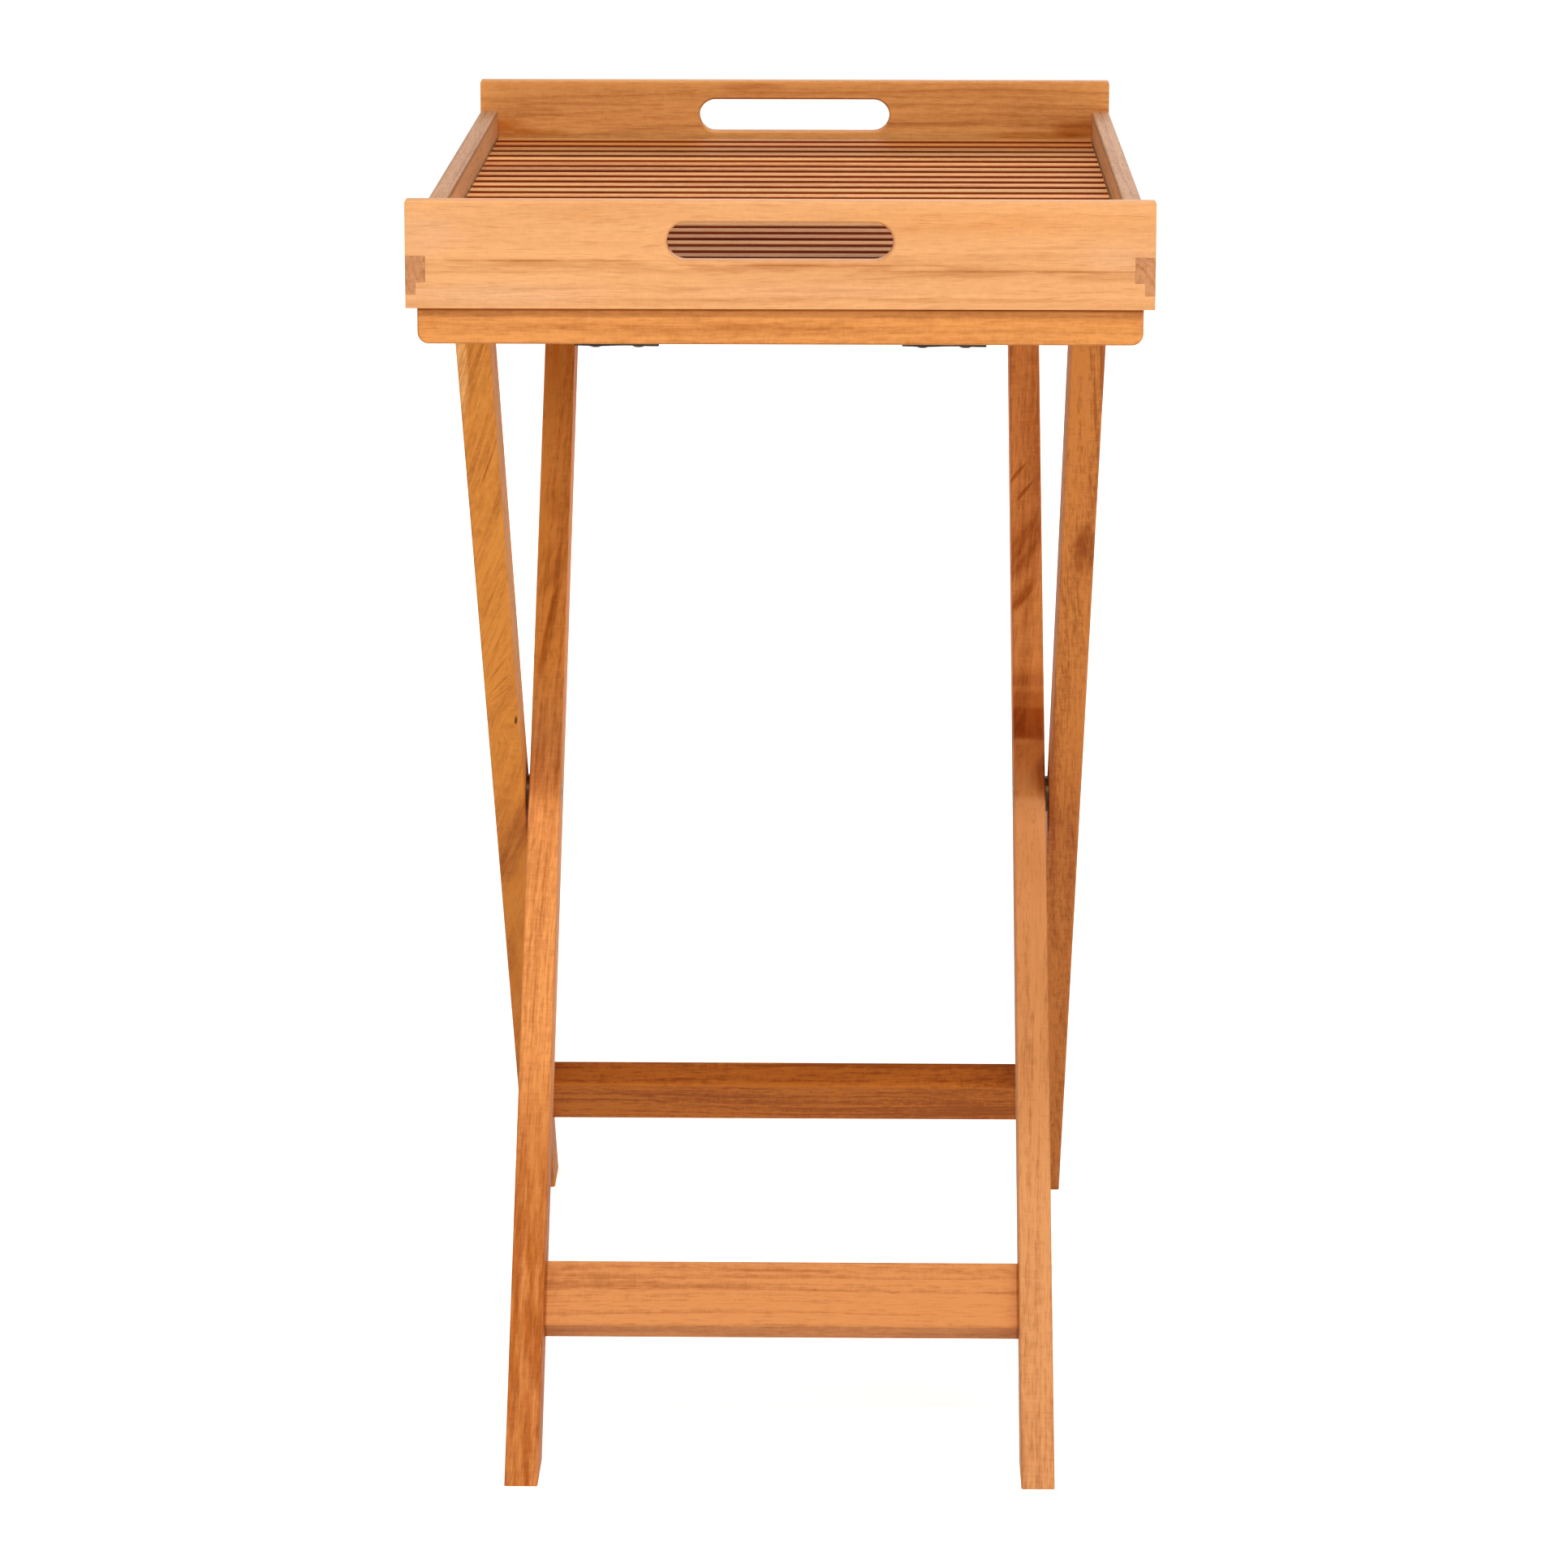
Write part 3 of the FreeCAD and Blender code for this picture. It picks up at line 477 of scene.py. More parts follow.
def add_node(tree, kind, sockets=None, **settings):
    """A shader node with its settings, and its sockets linked or set."""
    made = tree.nodes.new(kind)
    for name, value in settings.items():
        setattr(made, name, value)
    set_sockets(tree, made, sockets or {})
    return made


def add_group(tree, group, sockets):
    """The outputs of a node that holds a shader group, with its sockets linked or set."""
    return add_node(tree, "ShaderNodeGroup", sockets, node_tree=group).outputs


def calculate(tree, operation, first, second=0.0, clamp=False):
    """The output of a Math node."""
    made = add_node(tree, "ShaderNodeMath", {0: first, 1: second}, operation=operation, use_clamp=clamp)
    return made.outputs[0]


def times(tree, first, second):
    """The product of two values."""
    return calculate(tree, "MULTIPLY", first, second)


def weighted_sum(tree, start, parts):
    """A value plus other values times their weights."""
    total = start
    for value, weight in parts:
        total = calculate(tree, "ADD", total, times(tree, value, weight))
    return total


def vector_maths(tree, operation, first, second=(0, 0, 0)):
    """The output of a Vector Math node that gives a vector."""
    return add_node(tree, "ShaderNodeVectorMath", {0: first, 1: second}, operation=operation).outputs[0]


def vector_length(tree, vector):
    """The length of a vector."""
    return add_node(tree, "ShaderNodeVectorMath", {0: vector}, operation="LENGTH").outputs["Value"]


def spread(tree, value, low, high, new_low, new_high):
    """A value's range mapped smoothly onto another."""
    made = add_node(tree, "ShaderNodeMapRange", {0: value, 1: low, 2: high, 3: new_low, 4: new_high},
                    interpolation_type="SMOOTHSTEP")
    return made.outputs[0]


def mix_colours(tree, blend, factor, first, second):
    """The output of a colour Mix node."""
    made = add_node(tree, "ShaderNodeMix", {0: factor, 6: first, 7: second}, data_type="RGBA",
                    blend_type=blend)
    return made.outputs[2]


def noise(tree, place, scale, detail, want="Fac"):
    """Noise at so many cells a metre."""
    made = add_node(tree, "ShaderNodeTexNoise", {"Vector": place, "Scale": scale, "Detail": detail})
    return made.outputs[want]


def stretched_noise(tree, place, stretch, detail, want="Fac"):
    """Noise in wood coordinates, at so many cells a metre along, across and through the grain."""
    return noise(tree, vector_maths(tree, "MULTIPLY", place, stretch), 1, detail, want)


def facing(tree, direction, edge):
    """How far a face looks along a direction or against it, between two cosines."""
    normal = add_node(tree, "ShaderNodeTexCoord").outputs["Normal"]
    cosine = add_node(tree, "ShaderNodeVectorMath", {0: normal, 1: direction},
                      operation="DOT_PRODUCT").outputs["Value"]
    return spread(tree, calculate(tree, "ABSOLUTE", cosine), *edge, 0, 1)


def new_group(name, inputs, outputs):
    """An empty shader node group with its sockets, and the nodes that stand for its two ends."""
    group = bpy.data.node_groups.new(name, "ShaderNodeTree")
    for direction, sockets in (("INPUT", inputs), ("OUTPUT", outputs)):
        for socket, kind in sockets:
            group.interface.new_socket(socket, in_out=direction, socket_type=f"NodeSocket{kind}")
    ends = group.nodes.new("NodeGroupInput"), group.nodes.new("NodeGroupOutput")
    return group, ends[0].outputs, ends[1].inputs


def shared(build):
    """A function that makes its shader group at first, under its own name, and then hands it out again."""
    def fetch():
        return bpy.data.node_groups.get(build.__name__) or build(build.__name__)
    return fetch


def new_material(name):
    """A new material, its node tree and its Principled shader."""
    material = bpy.data.materials.new(name)
    material.use_nodes = True
    tree = material.node_tree
    return material, tree, tree.nodes["Principled BSDF"]


@shared
def teak_figure(name):
    """Group of the wood's figure: rings round the tree's heart, streaks, fibres, pores and sawn ends.

    Its vector has X along the grain and its origin on the tree's heart.
    """
    group, given, wanted = new_group(
        name,
        [("Vector", "Vector"), ("Pale", "Color"), ("Late Wood", "Color"), ("End Grain", "Color"),
         ("Ring Gap", "Float"), ("Rings", "Float"), ("Streaks", "Float"), ("Wander", "Float"),
         ("Sawn End", "Float")],
        [("Color", "Color"), ("Roughness", "Float"), ("Height", "Float")])
    wander = stretched_noise(group, given["Vector"], *GRAIN_WANDER, "Color")
    wander = vector_maths(group, "SUBTRACT", wander, [NOISE_MEAN] * 3)
    reach = add_node(group, "ShaderNodeCombineXYZ", {"Y": given["Wander"], "Z": given["Wander"]})
    wander = vector_maths(group, "MULTIPLY", wander, reach.outputs[0])
    place = vector_maths(group, "ADD", given["Vector"], wander)
    grown = {name: stretched_noise(group, place, *settings) for name, settings in FIGURE_NOISE.items()}
    marks = {name: spread(group, grown[name], *edge, 0, 1) for name, edge in MARKS.items()}

    radius = vector_length(group, vector_maths(group, "MULTIPLY", place, (0, 1, 1)))
    year = calculate(group, "DIVIDE", radius, given["Ring Gap"])
    year = weighted_sum(group, year, [(grown["uneven"], RING_STRAY)])
    growth = calculate(group, "FRACT", year)
    dense = spread(group, growth, LATE_START, LATE_FULL, 0, 1)
    fresh = spread(group, growth, LATE_END, 1, 0, 1)
    late = calculate(group, "SUBTRACT", dense, fresh, clamp=True)
    yearly = add_node(group, "ShaderNodeTexWhiteNoise", {"W": calculate(group, "FLOOR", year)},
                      noise_dimensions="1D").outputs["Value"]
    late = times(group, late, spread(group, yearly, 0, 1, FAINTEST_RING, 1))

    lines = times(group, marks["lines"], marks["cluster"])
    swings = [(calculate(group, "SUBTRACT", grown[name], NOISE_MEAN), weight)
              for name, weight in MOTTLE.items()]
    mottle = weighted_sum(group, times(group, lines, LINES_DEPTH), swings)
    depth = times(group, mottle, given["Streaks"])
    depth = weighted_sum(group, depth, [(late, given["Rings"])])
    depth = calculate(group, "ADD", depth, LEAST_DEPTH, clamp=True)
    deep = mix_colours(group, "MULTIPLY", 1, given["Pale"], given["Late Wood"])
    wood = mix_colours(group, "MIX", depth, given["Pale"], deep)
    sunk = times(group, marks["pores"], PORE_DEPTH)
    wood = mix_colours(group, "MULTIPLY", sunk, wood, given["Late Wood"])
    wood = mix_colours(group, "MULTIPLY", given["Sawn End"], wood, given["End Grain"])
    dull = weighted_sum(group, SMOOTH_WOOD, [(grown["fibre"], FIBRE_ROUGHNESS),
                                             (given["Sawn End"], SAWN_ROUGHNESS),
                                             (marks["pores"], PORE_ROUGHNESS)])
    ridge = weighted_sum(group, times(group, grown["fibre"], FIBRE_HEIGHT), [(late, LATE_HEIGHT)])
    group.links.new(wood, wanted["Color"])
    group.links.new(dull, wanted["Roughness"])
    group.links.new(calculate(group, "SUBTRACT", ridge, marks["pores"]), wanted["Height"])
    return group


@shared
def wood_patch(name):
    """Group of one patch of wood: 1 in its middle and 0 outside, broken up along its own length."""
    group, given, wanted = new_group(
        name, [("Vector", "Vector"), ("Place", "Vector"), ("Size", "Vector"), ("Angle", "Float"),
               ("Ragged", "Float"), ("Fade", "Float")], [("Mask", "Float")])
    upright = add_node(group, "ShaderNodeVectorRotate",
                       {"Vector": given["Vector"], "Center": given["Place"],
                        "Angle": times(group, given["Angle"], -1)},
                       rotation_type="Z_AXIS").outputs[0]
    away = vector_maths(group, "SUBTRACT", upright, given["Place"])
    distance = vector_length(group, vector_maths(group, "DIVIDE", away, given["Size"]))
    grown = stretched_noise(group, upright, *PATCH_EDGE)
    shift = calculate(group, "SUBTRACT", grown, NOISE_MEAN)
    distance = weighted_sum(group, distance, [(shift, given["Ragged"])])
    inside = spread(group, distance, calculate(group, "SUBTRACT", 1, given["Fade"]), 1, 1, 0)
    broken = times(group, spread(group, grown, *PATCH_BREAKS, 1, 0), given["Ragged"])
    group.links.new(times(group, inside, calculate(group, "SUBTRACT", 1, broken)), wanted["Mask"])
    return group


@shared
def knot_bend(name):
    """Group that bends the grain round a knot, in object coordinates."""
    group, given, wanted = new_group(
        name, [("Vector", "Vector"), ("Knot", "Vector"), ("Run", "Vector"), ("Reach", "Float")],
        [("Vector", "Vector")])
    away = vector_maths(group, "SUBTRACT", given["Vector"], given["Knot"])
    lengthwise = vector_maths(group, "PROJECT", away, given["Run"])
    lengthwise = vector_maths(group, "MULTIPLY", lengthwise, [KNOT_STRETCH] * 3)
    away = vector_maths(group, "SUBTRACT", away, lengthwise)
    near = calculate(group, "DIVIDE", given["Reach"], vector_length(group, away))
    near = calculate(group, "POWER", near, 2, clamp=True)
    bent = add_node(group, "ShaderNodeVectorMath", {0: away, "Scale": near}, operation="SCALE").outputs[0]
    group.links.new(vector_maths(group, "SUBTRACT", given["Vector"], bent), wanted["Vector"])
    return group


def grain_turn(grain):
    """The turn that lays a grain direction on the X axis."""
    side = ALONG if abs(grain.x) > abs(grain.y) else ACROSS
    third = grain.cross(side).normalized()
    return Matrix((grain, third.cross(grain), third))


def teak_material(teak, node, cut, pale, dice, gloss):
    """The wood of one piece, with the figure of its own place in the tree."""
    material, tree, shader = new_material(f"teak_{node}")
    low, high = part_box(node)
    middle = (low + high) / 2
    aside = UP if cut.run == ACROSS else ACROSS
    turn = grain_turn((cut.run + cut.lean * aside).normalized())
    straight = grain_turn(cut.run)
    heart = turn @ (middle + Vector(cut.heart))
    heart.x += dice.uniform(-TRUNK_REACH, TRUNK_REACH)
    place = add_node(tree, "ShaderNodeTexCoord").outputs["Object"]
    grown = place
    if node in KNOTS:
        knot = KNOTS[node]
        eye = middle + straight.transposed() @ Vector(knot.place)
        grown = add_group(tree, knot_bend(), {"Vector": place, "Knot": eye, "Run": cut.run,
                                              "Reach": knot.reach})["Vector"]
    placed = add_node(tree, "ShaderNodeMapping", {"Vector": grown, "Location": -heart,
                                                  "Rotation": turn.to_euler()})
    figure = add_group(tree, teak_figure(), {
        "Vector": placed.outputs[0], "Sawn End": facing(tree, cut.run, SAWN_END), "Pale": (*pale, 1),
        "Late Wood": (*teak.late_wood, 1), "End Grain": (*teak.end_grain, 1), "Ring Gap": teak.ring_gap,
        "Rings": cut.rings, "Streaks": cut.streaks, "Wander": cut.wander})
    relief = add_node(tree, "ShaderNodeBump", {"Height": figure["Height"], **TEAK_BUMP})
    wood = figure["Color"]
    measured = add_node(tree, "ShaderNodeMapping", {"Vector": place, "Location": -(straight @ middle),
                                                    "Rotation": straight.to_euler()})
    # Patches of stain and figure; on some pieces they are painted shade or painted light
    for row in PATCHES.get(node, ()):
        patch = Patch(*row)
        mask = add_group(tree, wood_patch(), {
            "Vector": measured.outputs[0], "Place": patch.place, "Size": patch.size,
            "Angle": math.atan(patch.lean), "Ragged": patch.ragged, "Fade": patch.fade})["Mask"]
        mask = times(tree, mask, patch.depth)
        wood = mix_colours(tree, "MULTIPLY", mask, wood, (*(patch.tint or teak.stain), 1))
    set_sockets(tree, shader, {"Base Color": wood, "Roughness": figure["Roughness"],
                               "Normal": relief.outputs["Normal"], "Specular IOR Level": gloss})
    return material


def shade_sides(material, kept):
    """Darken a slat's sides as painted shade in the gaps; kept is what is left of the colour."""
    tree = material.node_tree
    base = tree.nodes["Principled BSDF"].inputs["Base Color"]
    wood = base.links[0].from_socket
    side = facing(tree, ALONG, SLAT_SHADE_EDGE)
    tree.links.new(mix_colours(tree, "MULTIPLY", side, wood, (*kept, 1)), base)


def wear(piece, material):
    """Give a piece one material."""
    piece.data.materials.clear()
    piece.data.materials.append(material)


def finish_boards(cuts, seed):
    """Give each sawn piece of a group its own wood."""
    teak = bpy.context.scene.tray_table.teak
    dice = random.Random(seed)
    for node, cut in cuts.items():
        pale = getattr(teak, cut.colour)
        wear(frame["nodes"][node], teak_material(teak, node, cut, pale, dice, teak.gloss))


class TRAYTABLE_OT_tray_boards(bpy.types.Operator):
    """Finish the tray's end boards and side rails in pale teak"""

    bl_idname = "tray_table.tray_boards"
    bl_label = "Tray Boards"

    def execute(self, context):
        finish_boards(TRAY_CUTS, TRAY_SEED)
        return {"FINISHED"}


def slat_colour(teak, place, dice):
    """A slat's colour, with painted shade behind the front board and towards the rear; place is 0 to 1 from the
    middle to the rear, or None behind the front board.
    """
    tone = dice.uniform(*SLAT_TONE)
    warmth = dice.uniform(*SLAT_WARMTH)
    # Painted shade behind the front board, and darker towards the rear
    if place is None:
        tone *= teak.front_slats
        warmth *= FRONT_WARMTH
    else:
        tone *= 1 + (teak.rear_slats - 1) * place
        warmth *= MIDDLE_WARMTH - REAR_WARMTH_LOSS * place
    return [min(1, part * tone * tint) for part, tint in zip(teak.slats, (1, warmth, warmth ** 2))]


class TRAYTABLE_OT_slats(bpy.types.Operator):
    """Finish the floor slats in teak of mixed tones, with painted shade on their sides, behind the front board and
    towards the rear
    """

    bl_idname = "tray_table.slats"
    bl_label = "Slats"

    def execute(self, context):
        teak = context.scene.tray_table.teak
        dice = random.Random(SLATS_SEED)
        fronts = {node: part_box(node)[0].y for node in SLATS}
        rearmost = max(fronts.values())
        for node, front in fronts.items():
            place = None if front < FRONT_SLATS_END else max(0, front / rearmost)
            pale = slat_colour(teak, place, dice)
            heart = (0, dice.uniform(-HEART_ASIDE, HEART_ASIDE), -dice.uniform(*HEART_BELOW))
            cut = Cut(ACROSS, 0, heart, "slats", SLAT_RINGS, dice.uniform(*SLAT_STREAKS), SLAT_WANDER)
            material = teak_material(teak, node, cut, pale, dice, teak.slat_gloss)
            # Painted shade on the slats' sides in the gaps
            shade_sides(material, teak.slat_sides)
            wear(frame["nodes"][node], material)
        return {"FINISHED"}


class TRAYTABLE_OT_stand(bpy.types.Operator):
    """Finish the stand's legs, top rails and stretchers in teak"""

    bl_idname = "tray_table.stand"
    bl_label = "Stand"

    def execute(self, context):
        finish_boards(STAND_CUTS, STAND_SEED)
        return {"FINISHED"}


@shared
def webbing_weave(name):
    """Group of a woven band: staggered rows of plump yarns, from a vector of metres across and along."""
    group, given, wanted = new_group(name, [("Vector", "Vector"), ("Yarn Pitch", "Float")],
                                     [("Height", "Float"), ("Wear And Shade", "Float")])
    parts = add_node(group, "ShaderNodeSeparateXYZ", {0: given["Vector"]}).outputs
    column = calculate(group, "DIVIDE", parts["X"], given["Yarn Pitch"])
    row_length = times(group, given["Yarn Pitch"], ROW_LENGTH)
    row = calculate(group, "DIVIDE", parts["Y"], row_length)
    odd = calculate(group, "FLOORED_MODULO", calculate(group, "FLOOR", row), 2)
    column = calculate(group, "ADD", column, calculate(group, "DIVIDE", odd, 2))
    bulges = []
    for part in (column, row):
        turn = times(group, calculate(group, "FRACT", part), math.pi)
        bulges.append(calculate(group, "POWER", calculate(group, "SINE", turn), YARN_BULGE))
    plump = times(group, *bulges)
    fuzz = noise(group, given["Vector"], FUZZ_SCALE, 2)
    group.links.new(weighted_sum(group, plump, [(fuzz, FUZZ_HEIGHT)]), wanted["Height"])
    patchy = noise(group, given["Vector"], WEAR_SCALE, 3)
    # Patchy wear on the ridges, and painted shade in the hollows between the yarns
    worn_and_shaded = times(group, plump, spread(group, patchy, *WEAR_EDGE, LEAST_WEAR, 1))
    group.links.new(worn_and_shaded, wanted["Wear And Shade"])
    return group


def webbing_material(webbing):
    """Black woven band, a little paler and duller where the yarns stand up and are worn, with painted shade in the
    hollows.
    """
    material, tree, shader = new_material("black_webbing")
    place = add_node(tree, "ShaderNodeUVMap", uv_map="band")
    weave = add_group(tree, webbing_weave(), {"Vector": place.outputs["UV"],
                                              "Yarn Pitch": webbing.yarn_pitch})
    dark = [part * HOLLOW_SHADE for part in webbing.yarn]
    tint = mix_colours(tree, "MIX", weave["Wear And Shade"], (*dark, 1), (*webbing.yarn, 1))
    relief = add_node(tree, "ShaderNodeBump", {"Height": weave["Height"], **WEBBING_BUMP})
    set_sockets(tree, shader, {"Base Color": tint, "Normal": relief.outputs["Normal"],
                               "Roughness": spread(tree, weave["Wear And Shade"], 0, 1, *YARN_ROUGHNESS),
                               "Specular IOR Level": YARN_GLOSS})
    return material


def new_piece(name, bm):
    """A piece at the origin from a finished bmesh."""
    mesh = bpy.data.meshes.new(name)
    bm.to_mesh(mesh)
    bm.free()
    piece = bpy.data.objects.new(name, mesh)
    bpy.context.scene.collection.objects.link(piece)
    return piece


def edges_in(parts):
    """The edges among the parts of a bmesh."""
    return [part for part in parts if isinstance(part, bmesh.types.BMEdge)]


def draw_out(bm, edges, move):
    """Extrude edges by a move; returns the new edges at the far end."""
    made = bmesh.ops.extrude_edge_only(bm, edges=edges)["geom"]
    verts = [part for part in made if isinstance(part, bmesh.types.BMVert)]
    bmesh.ops.translate(bm, vec=move, verts=verts)
    ends = set(verts)
    return [edge for edge in edges_in(made) if set(edge.verts) <= ends]


def fold_over(bm, edges, centre):
    """Turn edges half round about a line across the table; returns the edges at the far end of the fold."""
    made = bmesh.ops.spin(bm, geom=edges, cent=centre, axis=ACROSS, angle=-math.pi, steps=FOLD_STEPS)
    return edges_in(made["geom_last"])


def strap_band(node, webbing):
    """One strap's band and its cut length: a hem under the front rail, the span, and a hem under the rear."""
    low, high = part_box(node)
    bend = (high.z - low.z) / 2
    front = low.y + webbing.inset + bend
    rear = high.y - webbing.inset - bend
    middle = low.z + bend
    bm = bmesh.new()
    start = [bm.verts.new((across, front + webbing.hem, low.z)) for across in (low.x, high.x)]
    edge = bm.edges.new(start)
    edges = edges_in(bmesh.ops.subdivide_edges(bm, edges=[edge], cuts=BAND_CUTS)["geom"])
    edges = draw_out(bm, edges, (0, -webbing.hem, 0))
    edges = fold_over(bm, edges, (0, front, middle))
    edges = draw_out(bm, edges, (0, rear - front, 0))
    edges = fold_over(bm, edges, (0, rear, middle))
    draw_out(bm, edges, (0, -webbing.hem, 0))
    bmesh.ops.remove_doubles(bm, verts=bm.verts, dist=MERGE_DISTANCE)
    for run, cuts in ((rear - front, SPAN_CUTS), (webbing.hem, HEM_CUTS)):
        runs = [edge for edge in bm.edges
                if math.isclose(abs(edge.verts[0].co.y - edge.verts[1].co.y), run, rel_tol=1e-3)]
        bmesh.ops.subdivide_edges(bm, edges=runs, cuts=cuts)
    bands = bm.loops.layers.uv.new("band")
    for face in bm.faces:
        for loop in face.loops:
            place = loop.vert.co
            run = place.y
            if place.z < middle and abs(place.y) > webbing.hem:
                run = math.copysign(front - rear, -place.y) - place.y
            loop[bands].uv = (place.x - low.x, run)
    for vert in bm.verts:
        if vert.co.z < middle - bend / 2:
            across = (vert.co.x - low.x) / (high.x - low.x)
            ripple = math.sin(across * math.pi * RIPPLES + vert.co.y * RIPPLE_RUN)
            vert.co.z -= webbing.sag * (1 + ripple) / 2
    bmesh.ops.recalc_face_normals(bm, faces=bm.faces)
    bmesh.ops.solidify(bm, geom=bm.faces[:], thickness=webbing.thickness)
    return bm, rear - front + 2 * webbing.hem + math.pi * (2 * bend - webbing.thickness)


class TRAYTABLE_OT_straps(bpy.types.Operator):
    """Weave the two straps that stop the stand from spreading"""

    bl_idname = "tray_table.straps"
    bl_label = "Straps"

    def execute(self, context):
        webbing = context.scene.tray_table.webbing
        material = webbing_material(webbing)
        for node in ("left_strap", "right_strap"):
            bm, cut_length = strap_band(node, webbing)
            band = new_piece(f"{node}_band", bm)
            wear(band, material)
            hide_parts(node)
            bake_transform(band)
        return {"FINISHED"}


def bronze_material(fittings):
    """Bronzed metal, a little mottled."""
    material, tree, shader = new_material("bronzed_metal")
    place = add_node(tree, "ShaderNodeTexCoord").outputs["Object"]
    mottle = noise(tree, place, METAL_SCALE, 3)
    dark = [part * DARK_METAL for part in fittings.metal]
    bright = spread(tree, mottle, *METAL_EDGE, 0, 1)
    tint = mix_colours(tree, "MIX", bright, (*dark, 1), (*fittings.metal, 1))
    set_sockets(tree, shader, {"Base Color": tint,
                               "Roughness": spread(tree, mottle, *METAL_EDGE, *METAL_ROUGHNESS),
                               "Metallic": 1})
    return material


def turned(corners):
    """A turned shape about the Z axis, from (radius, along) corners."""
    bm = bmesh.new()
    verts = [bm.verts.new((radius, 0, along)) for radius, along in corners]
    edges = [bm.edges.new(pair) for pair in zip(verts, verts[1:])]
    bmesh.ops.spin(bm, geom=verts + edges, cent=(0, 0, 0), axis=UP, angle=2 * math.pi, steps=LATHE_STEPS,
                   use_merge=True)
    bmesh.ops.remove_doubles(bm, verts=bm.verts, dist=MERGE_DISTANCE)
    bmesh.ops.recalc_face_normals(bm, faces=bm.faces)
    return bm


def carved(bm, tools):
    """A shape with each tool's shape cut out of it, as a mesh."""
    blank = new_piece("carving_blank", bm)
    cutters = [new_piece("carving_tool", tool) for tool in tools]
    for cutter in cutters:
        cut = blank.modifiers.new("Recess", "BOOLEAN")
        cut.operation = "DIFFERENCE"
        cut.solver = "EXACT"
        cut.object = cutter
    shaped = blank.evaluated_get(bpy.context.evaluated_depsgraph_get())
    mesh = bpy.data.meshes.new_from_object(shaped)
    for helper in (blank, *cutters):
        bpy.data.objects.remove(helper)
    if not mesh.polygons:
        raise RuntimeError("nothing is left of a carved fitting")
    return mesh


def set_out(name, node, body, mesh, places):
    """One bronze piece that stands for a node, with a copy of a mesh at each place, given as matrices."""
    bm = bmesh.new()
    for place in places:
        copy = mesh.copy()
        copy.transform(place)
        bm.from_mesh(copy)
        bpy.data.meshes.remove(copy)
    piece = new_piece(name, bm)
    wear(piece, bpy.data.materials["bronzed_metal"])
    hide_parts(node)
    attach(piece, body)


class TRAYTABLE_OT_pivots(bpy.types.Operator):
    """Make the pivots' sleeve nuts and bolts, with hexagon sockets in their heads, and bronze the washers"""

    bl_idname = "tray_table.pivots"
    bl_label = "Pivots"

    def execute(self, context):
        fittings = context.scene.tray_table.fittings
        wear(frame["nodes"]["spacer_washers"], bronze_material(fittings))
        pivot = Vector(frame["joints"][0]["pos_m"])
        faces = {"sleeve_nuts": -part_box("left_inner_leg")[1].x, "pivot_bolts": -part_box("left_outer_leg")[0].x}
        low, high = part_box("pivot_bolts")
        head = (high.z - low.z) / 2
        crown = head * CROWN
        socket = fittings.socket_width / math.sqrt(3)
        for name, node, outward, reach, shank in PIVOT_FITTINGS:
            bm = turned([(0, 0), (head - crown, 0), (head, -crown), (head, -PIVOT_HEAD), (shank, -PIVOT_HEAD),
                         (shank, -reach), (0, -reach)])
            tool = bmesh.new()
            bmesh.ops.create_cone(tool, cap_ends=True, segments=6, radius1=socket, radius2=socket,
                                  depth=2 * fittings.socket_depth)
            mesh = carved(bm, [tool])
            places = [Matrix.Translation((side * faces[node], pivot.y, pivot.z))
                      @ Matrix.Rotation(side * outward * math.pi / 2, 4, "Y") for side in (-1, 1)]
            set_out(name, node, "inner_frame", mesh, places)
        return {"FINISHED"}


class TRAYTABLE_OT_strap_screws(bpy.types.Operator):
    """Make the pan-headed screws that hold the straps, with cross recesses"""

    bl_idname = "tray_table.strap_screws"
    bl_label = "Strap Screws"

    def execute(self, context):
        fittings = context.scene.tray_table.fittings
        strap_low, strap_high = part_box("right_strap")
        for name, node, body in (("front_screw_set", "front_strap_screws", "outer_frame"),
                                 ("rear_screw_set", "rear_strap_screws", "inner_frame")):
            low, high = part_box(node)
            head = (high.y - low.y) / 2
            rise = strap_low.z - low.z
            shank = head * SCREW_SHANK
            tip = high.z - low.z
            outline = [(head * out, rise * up) for out, up in PAN_HEAD]
            bm = turned([*outline, (shank, rise), (shank, tip), (0, tip)])
            arms = []
            for sizes in ((fittings.cross_length, fittings.cross_width),
                          (fittings.cross_width, fittings.cross_length)):
                arm = bmesh.new()
                bmesh.ops.create_cube(arm, size=1, matrix=Matrix.Diagonal((*sizes, rise * RECESS_CUTTER, 1)))
                arms.append(arm)
            mesh = carved(bm, arms)
            outer = high.x - head
            inner = strap_low.x + strap_high.x - outer
            places = [Matrix.Translation((across, (low.y + high.y) / 2, low.z))
                      @ Matrix.Rotation(turn, 4, "Z")
                      for across, turn in zip((-outer, -inner, inner, outer), SCREW_TURNS)]
            set_out(name, node, body, mesh, places)
        return {"FINISHED"}


def seen(tree):
    """1 for rays from the camera, also by way of gloss or glass, and else 0."""
    path = add_node(tree, "ShaderNodeLightPath").outputs
    mirrored = calculate(tree, "MAXIMUM", path["Is Glossy Ray"], path["Is Transmission Ray"])
    return calculate(tree, "MAXIMUM", path["Is Camera Ray"], mirrored)


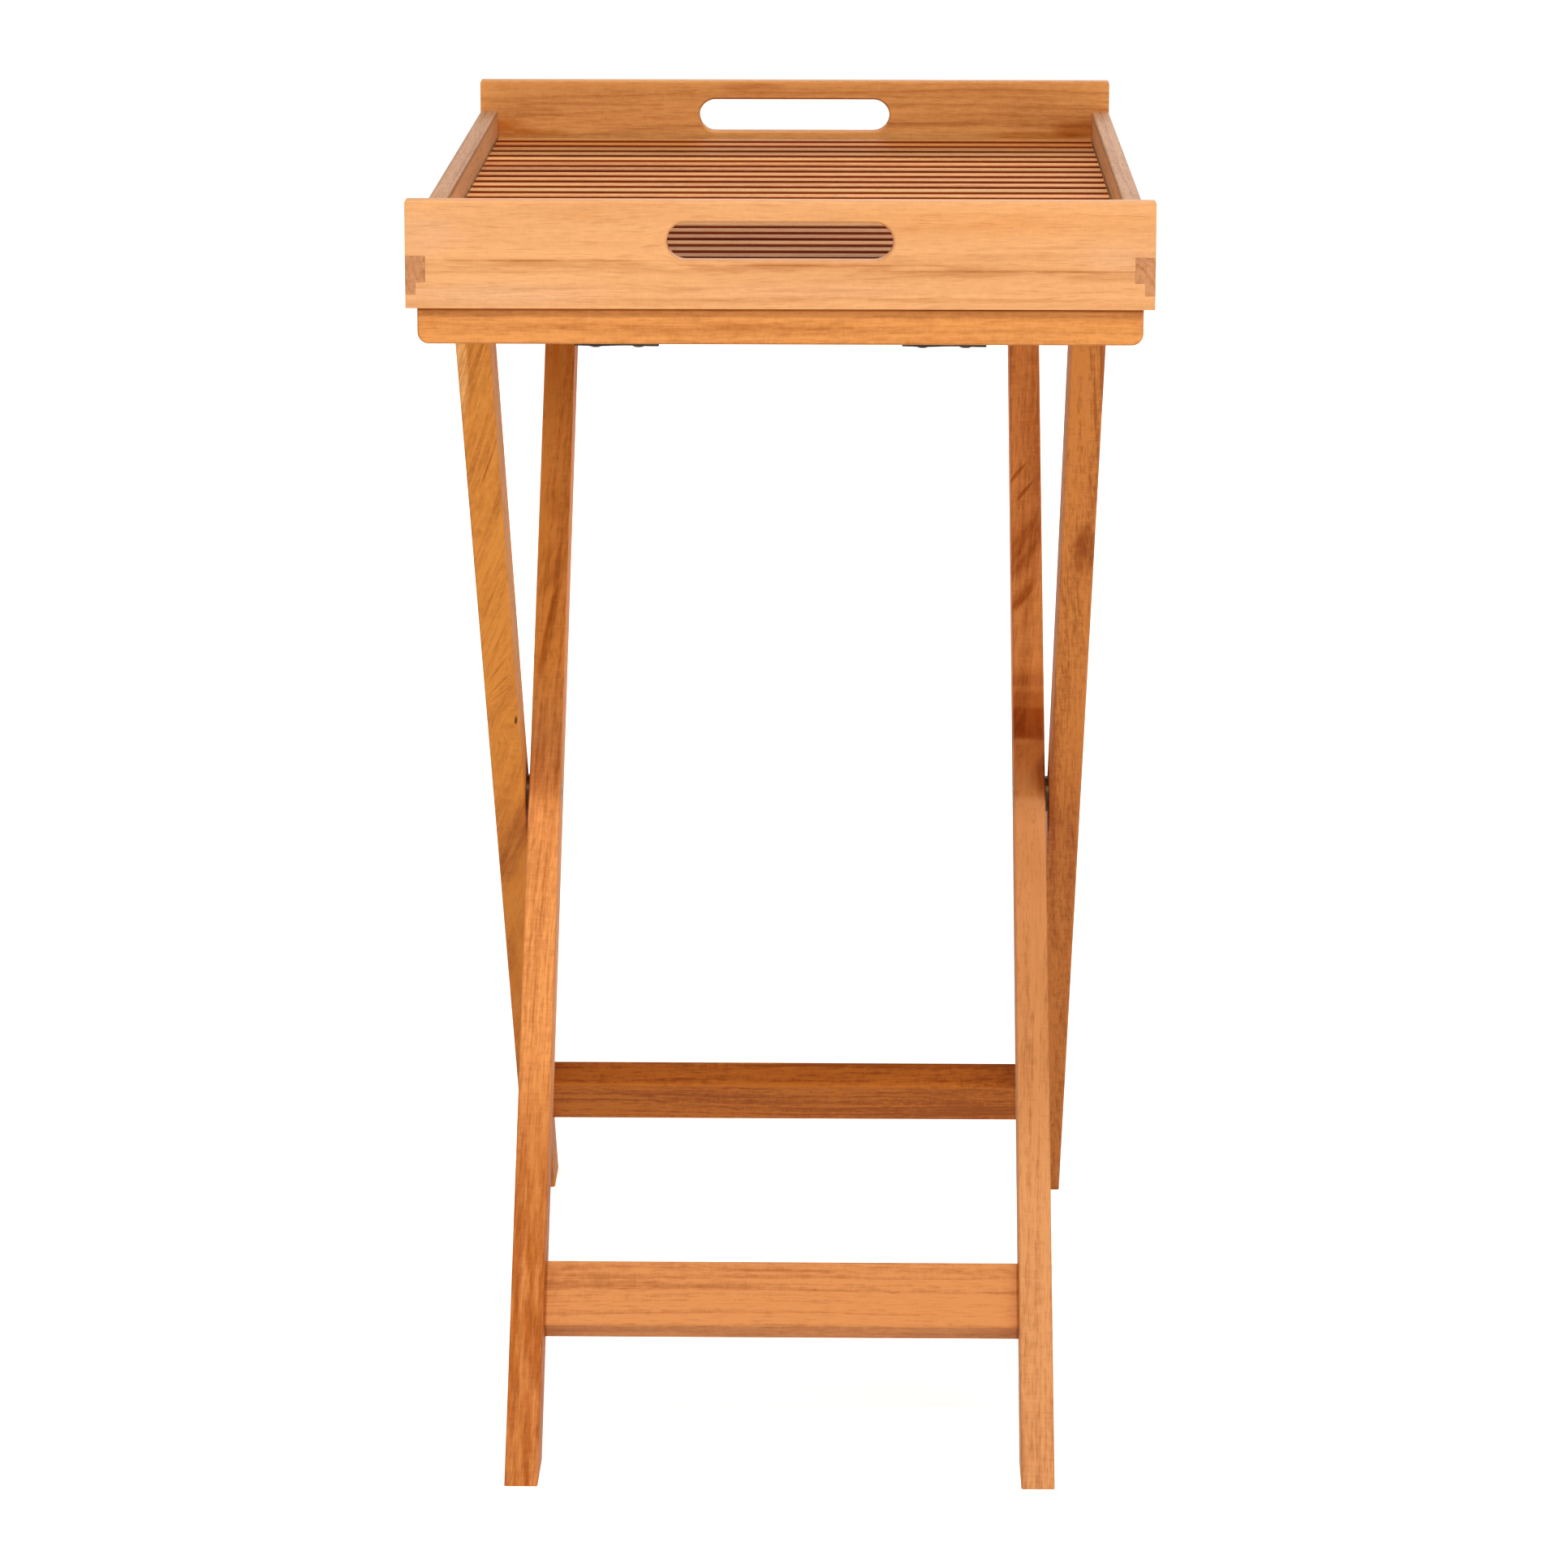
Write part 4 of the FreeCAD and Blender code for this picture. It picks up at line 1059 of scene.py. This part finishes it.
def stage_material(name, tone, glow):
    """A pale floor, clear from below, that the camera sees a little brighter, so that it reads as white."""
    material, tree, shader = new_material(name)
    tree.nodes.remove(shader)
    plain = add_node(tree, "ShaderNodeBsdfDiffuse", {"Color": (tone, tone, tone, 1)})
    light = add_node(tree, "ShaderNodeEmission", {"Strength": times(tree, seen(tree), glow)})
    both = add_node(tree, "ShaderNodeAddShader", {0: plain.outputs[0], 1: light.outputs[0]})
    below = add_node(tree, "ShaderNodeNewGeometry").outputs["Backfacing"]
    clear = add_node(tree, "ShaderNodeBsdfTransparent")
    whole = add_node(tree, "ShaderNodeMixShader", {0: below, 1: both.outputs[0], 2: clear.outputs[0]})
    tree.links.new(whole.outputs[0], tree.nodes["Material Output"].inputs["Surface"])
    return material


def add_lamp(name, lamp, power):
    """A soft rectangular lamp that looks at the table."""
    light = bpy.data.lights.new(name, "AREA")
    light.shape = "RECTANGLE"
    light.size = lamp.width
    light.size_y = lamp.height
    light.energy = power
    holder = bpy.data.objects.new(name, light)
    holder.location = lamp.place
    holder.rotation_euler = (LAMP_TARGET - Vector(lamp.place)).to_track_quat("-Z", "Y").to_euler()
    bpy.context.scene.collection.objects.link(holder)


def light_sky(scene, level):
    """Even light from all round, which the camera sees as white."""
    world = bpy.data.worlds.new("pale_sky")
    scene.world = world
    world.use_nodes = True
    tree = world.node_tree
    strength = spread(tree, seen(tree), 0, 1, level, 1)
    set_sockets(tree, tree.nodes["Background"], {"Strength": strength, "Color": (1, 1, 1, 1)})


def aim_camera(scene, stage):
    """Set up the camera at its place, with its lens shifted to where its axis meets the image."""
    lens = bpy.data.cameras.new("camera")
    lens.sensor_fit = "HORIZONTAL"
    lens.lens = stage.focal_pixels / IMAGE_WIDTH * lens.sensor_width
    lens.shift_x = 0.5 - stage.centre_pixels[0] / IMAGE_WIDTH
    lens.shift_y = stage.centre_pixels[1] / IMAGE_WIDTH - 0.5
    camera = bpy.data.objects.new("camera", lens)
    scene.collection.objects.link(camera)
    scene.camera = camera
    camera.matrix_world = (Matrix.Translation(stage.camera_place)
                           @ Matrix.Rotation(-stage.camera_yaw, 4, "Z")
                           @ Matrix.Rotation(math.pi / 2 - stage.camera_pitch, 4, "X")
                           @ Matrix.Rotation(stage.camera_roll, 4, "Z"))


class TRAYTABLE_OT_stage(bpy.types.Operator):
    """Set up the pale floor, the soft studio light and the camera"""

    bl_idname = "tray_table.stage"
    bl_label = "Stage"

    def execute(self, context):
        stage = context.scene.tray_table.stage
        bm = bmesh.new()
        bmesh.ops.create_grid(bm, x_segments=1, y_segments=1, size=stage.floor_size / 2)
        floor = new_piece("floor", bm)
        wear(floor, stage_material("pale_floor", stage.floor_tone, stage.floor_glow))
        add_lamp("key_lamp", KEY_LAMP, stage.key_power)
        add_lamp("fill_lamp", FILL_LAMP, stage.key_power * stage.fill_share)
        add_lamp("top_lamp", TOP_LAMP, stage.top_power)
        add_lamp("back_lamp", BACK_LAMP, stage.key_power * stage.back_share)
        light_sky(context.scene, stage.sky)
        aim_camera(context.scene, stage)
        context.scene.view_settings.view_transform = "Standard"
        return {"FINISHED"}


class TRAYTABLE_PT_looks(bpy.types.Panel):
    """Steps that dress the tray table"""

    bl_label = "Tray Table"
    bl_space_type = "VIEW_3D"
    bl_region_type = "UI"
    bl_category = "Tray Table"

    def draw(self, context):
        for step in STEPS:
            self.layout.operator(step.bl_idname)


STEPS = (TRAYTABLE_OT_tray_boards, TRAYTABLE_OT_slats, TRAYTABLE_OT_stand, TRAYTABLE_OT_straps,
         TRAYTABLE_OT_pivots, TRAYTABLE_OT_strap_screws, TRAYTABLE_OT_stage)
CLASSES = (TeakSettings, WebbingSettings, FittingSettings, StageSettings, TrayTableSettings, *STEPS,
           TRAYTABLE_PT_looks)


def register():
    for kind in CLASSES:
        bpy.utils.register_class(kind)
    bpy.types.Scene.tray_table = PointerProperty(type=TrayTableSettings)


def unregister():
    del bpy.types.Scene.tray_table
    for kind in reversed(CLASSES):
        bpy.utils.unregister_class(kind)


def main():
    register()
    bpy.ops.tray_table.tray_boards()
    bpy.ops.tray_table.slats()
    bpy.ops.tray_table.stand()
    bpy.ops.tray_table.straps()
    bpy.ops.tray_table.pivots()
    bpy.ops.tray_table.strap_screws()
    bpy.ops.tray_table.stage()


if __name__ == "__main__":
    main()
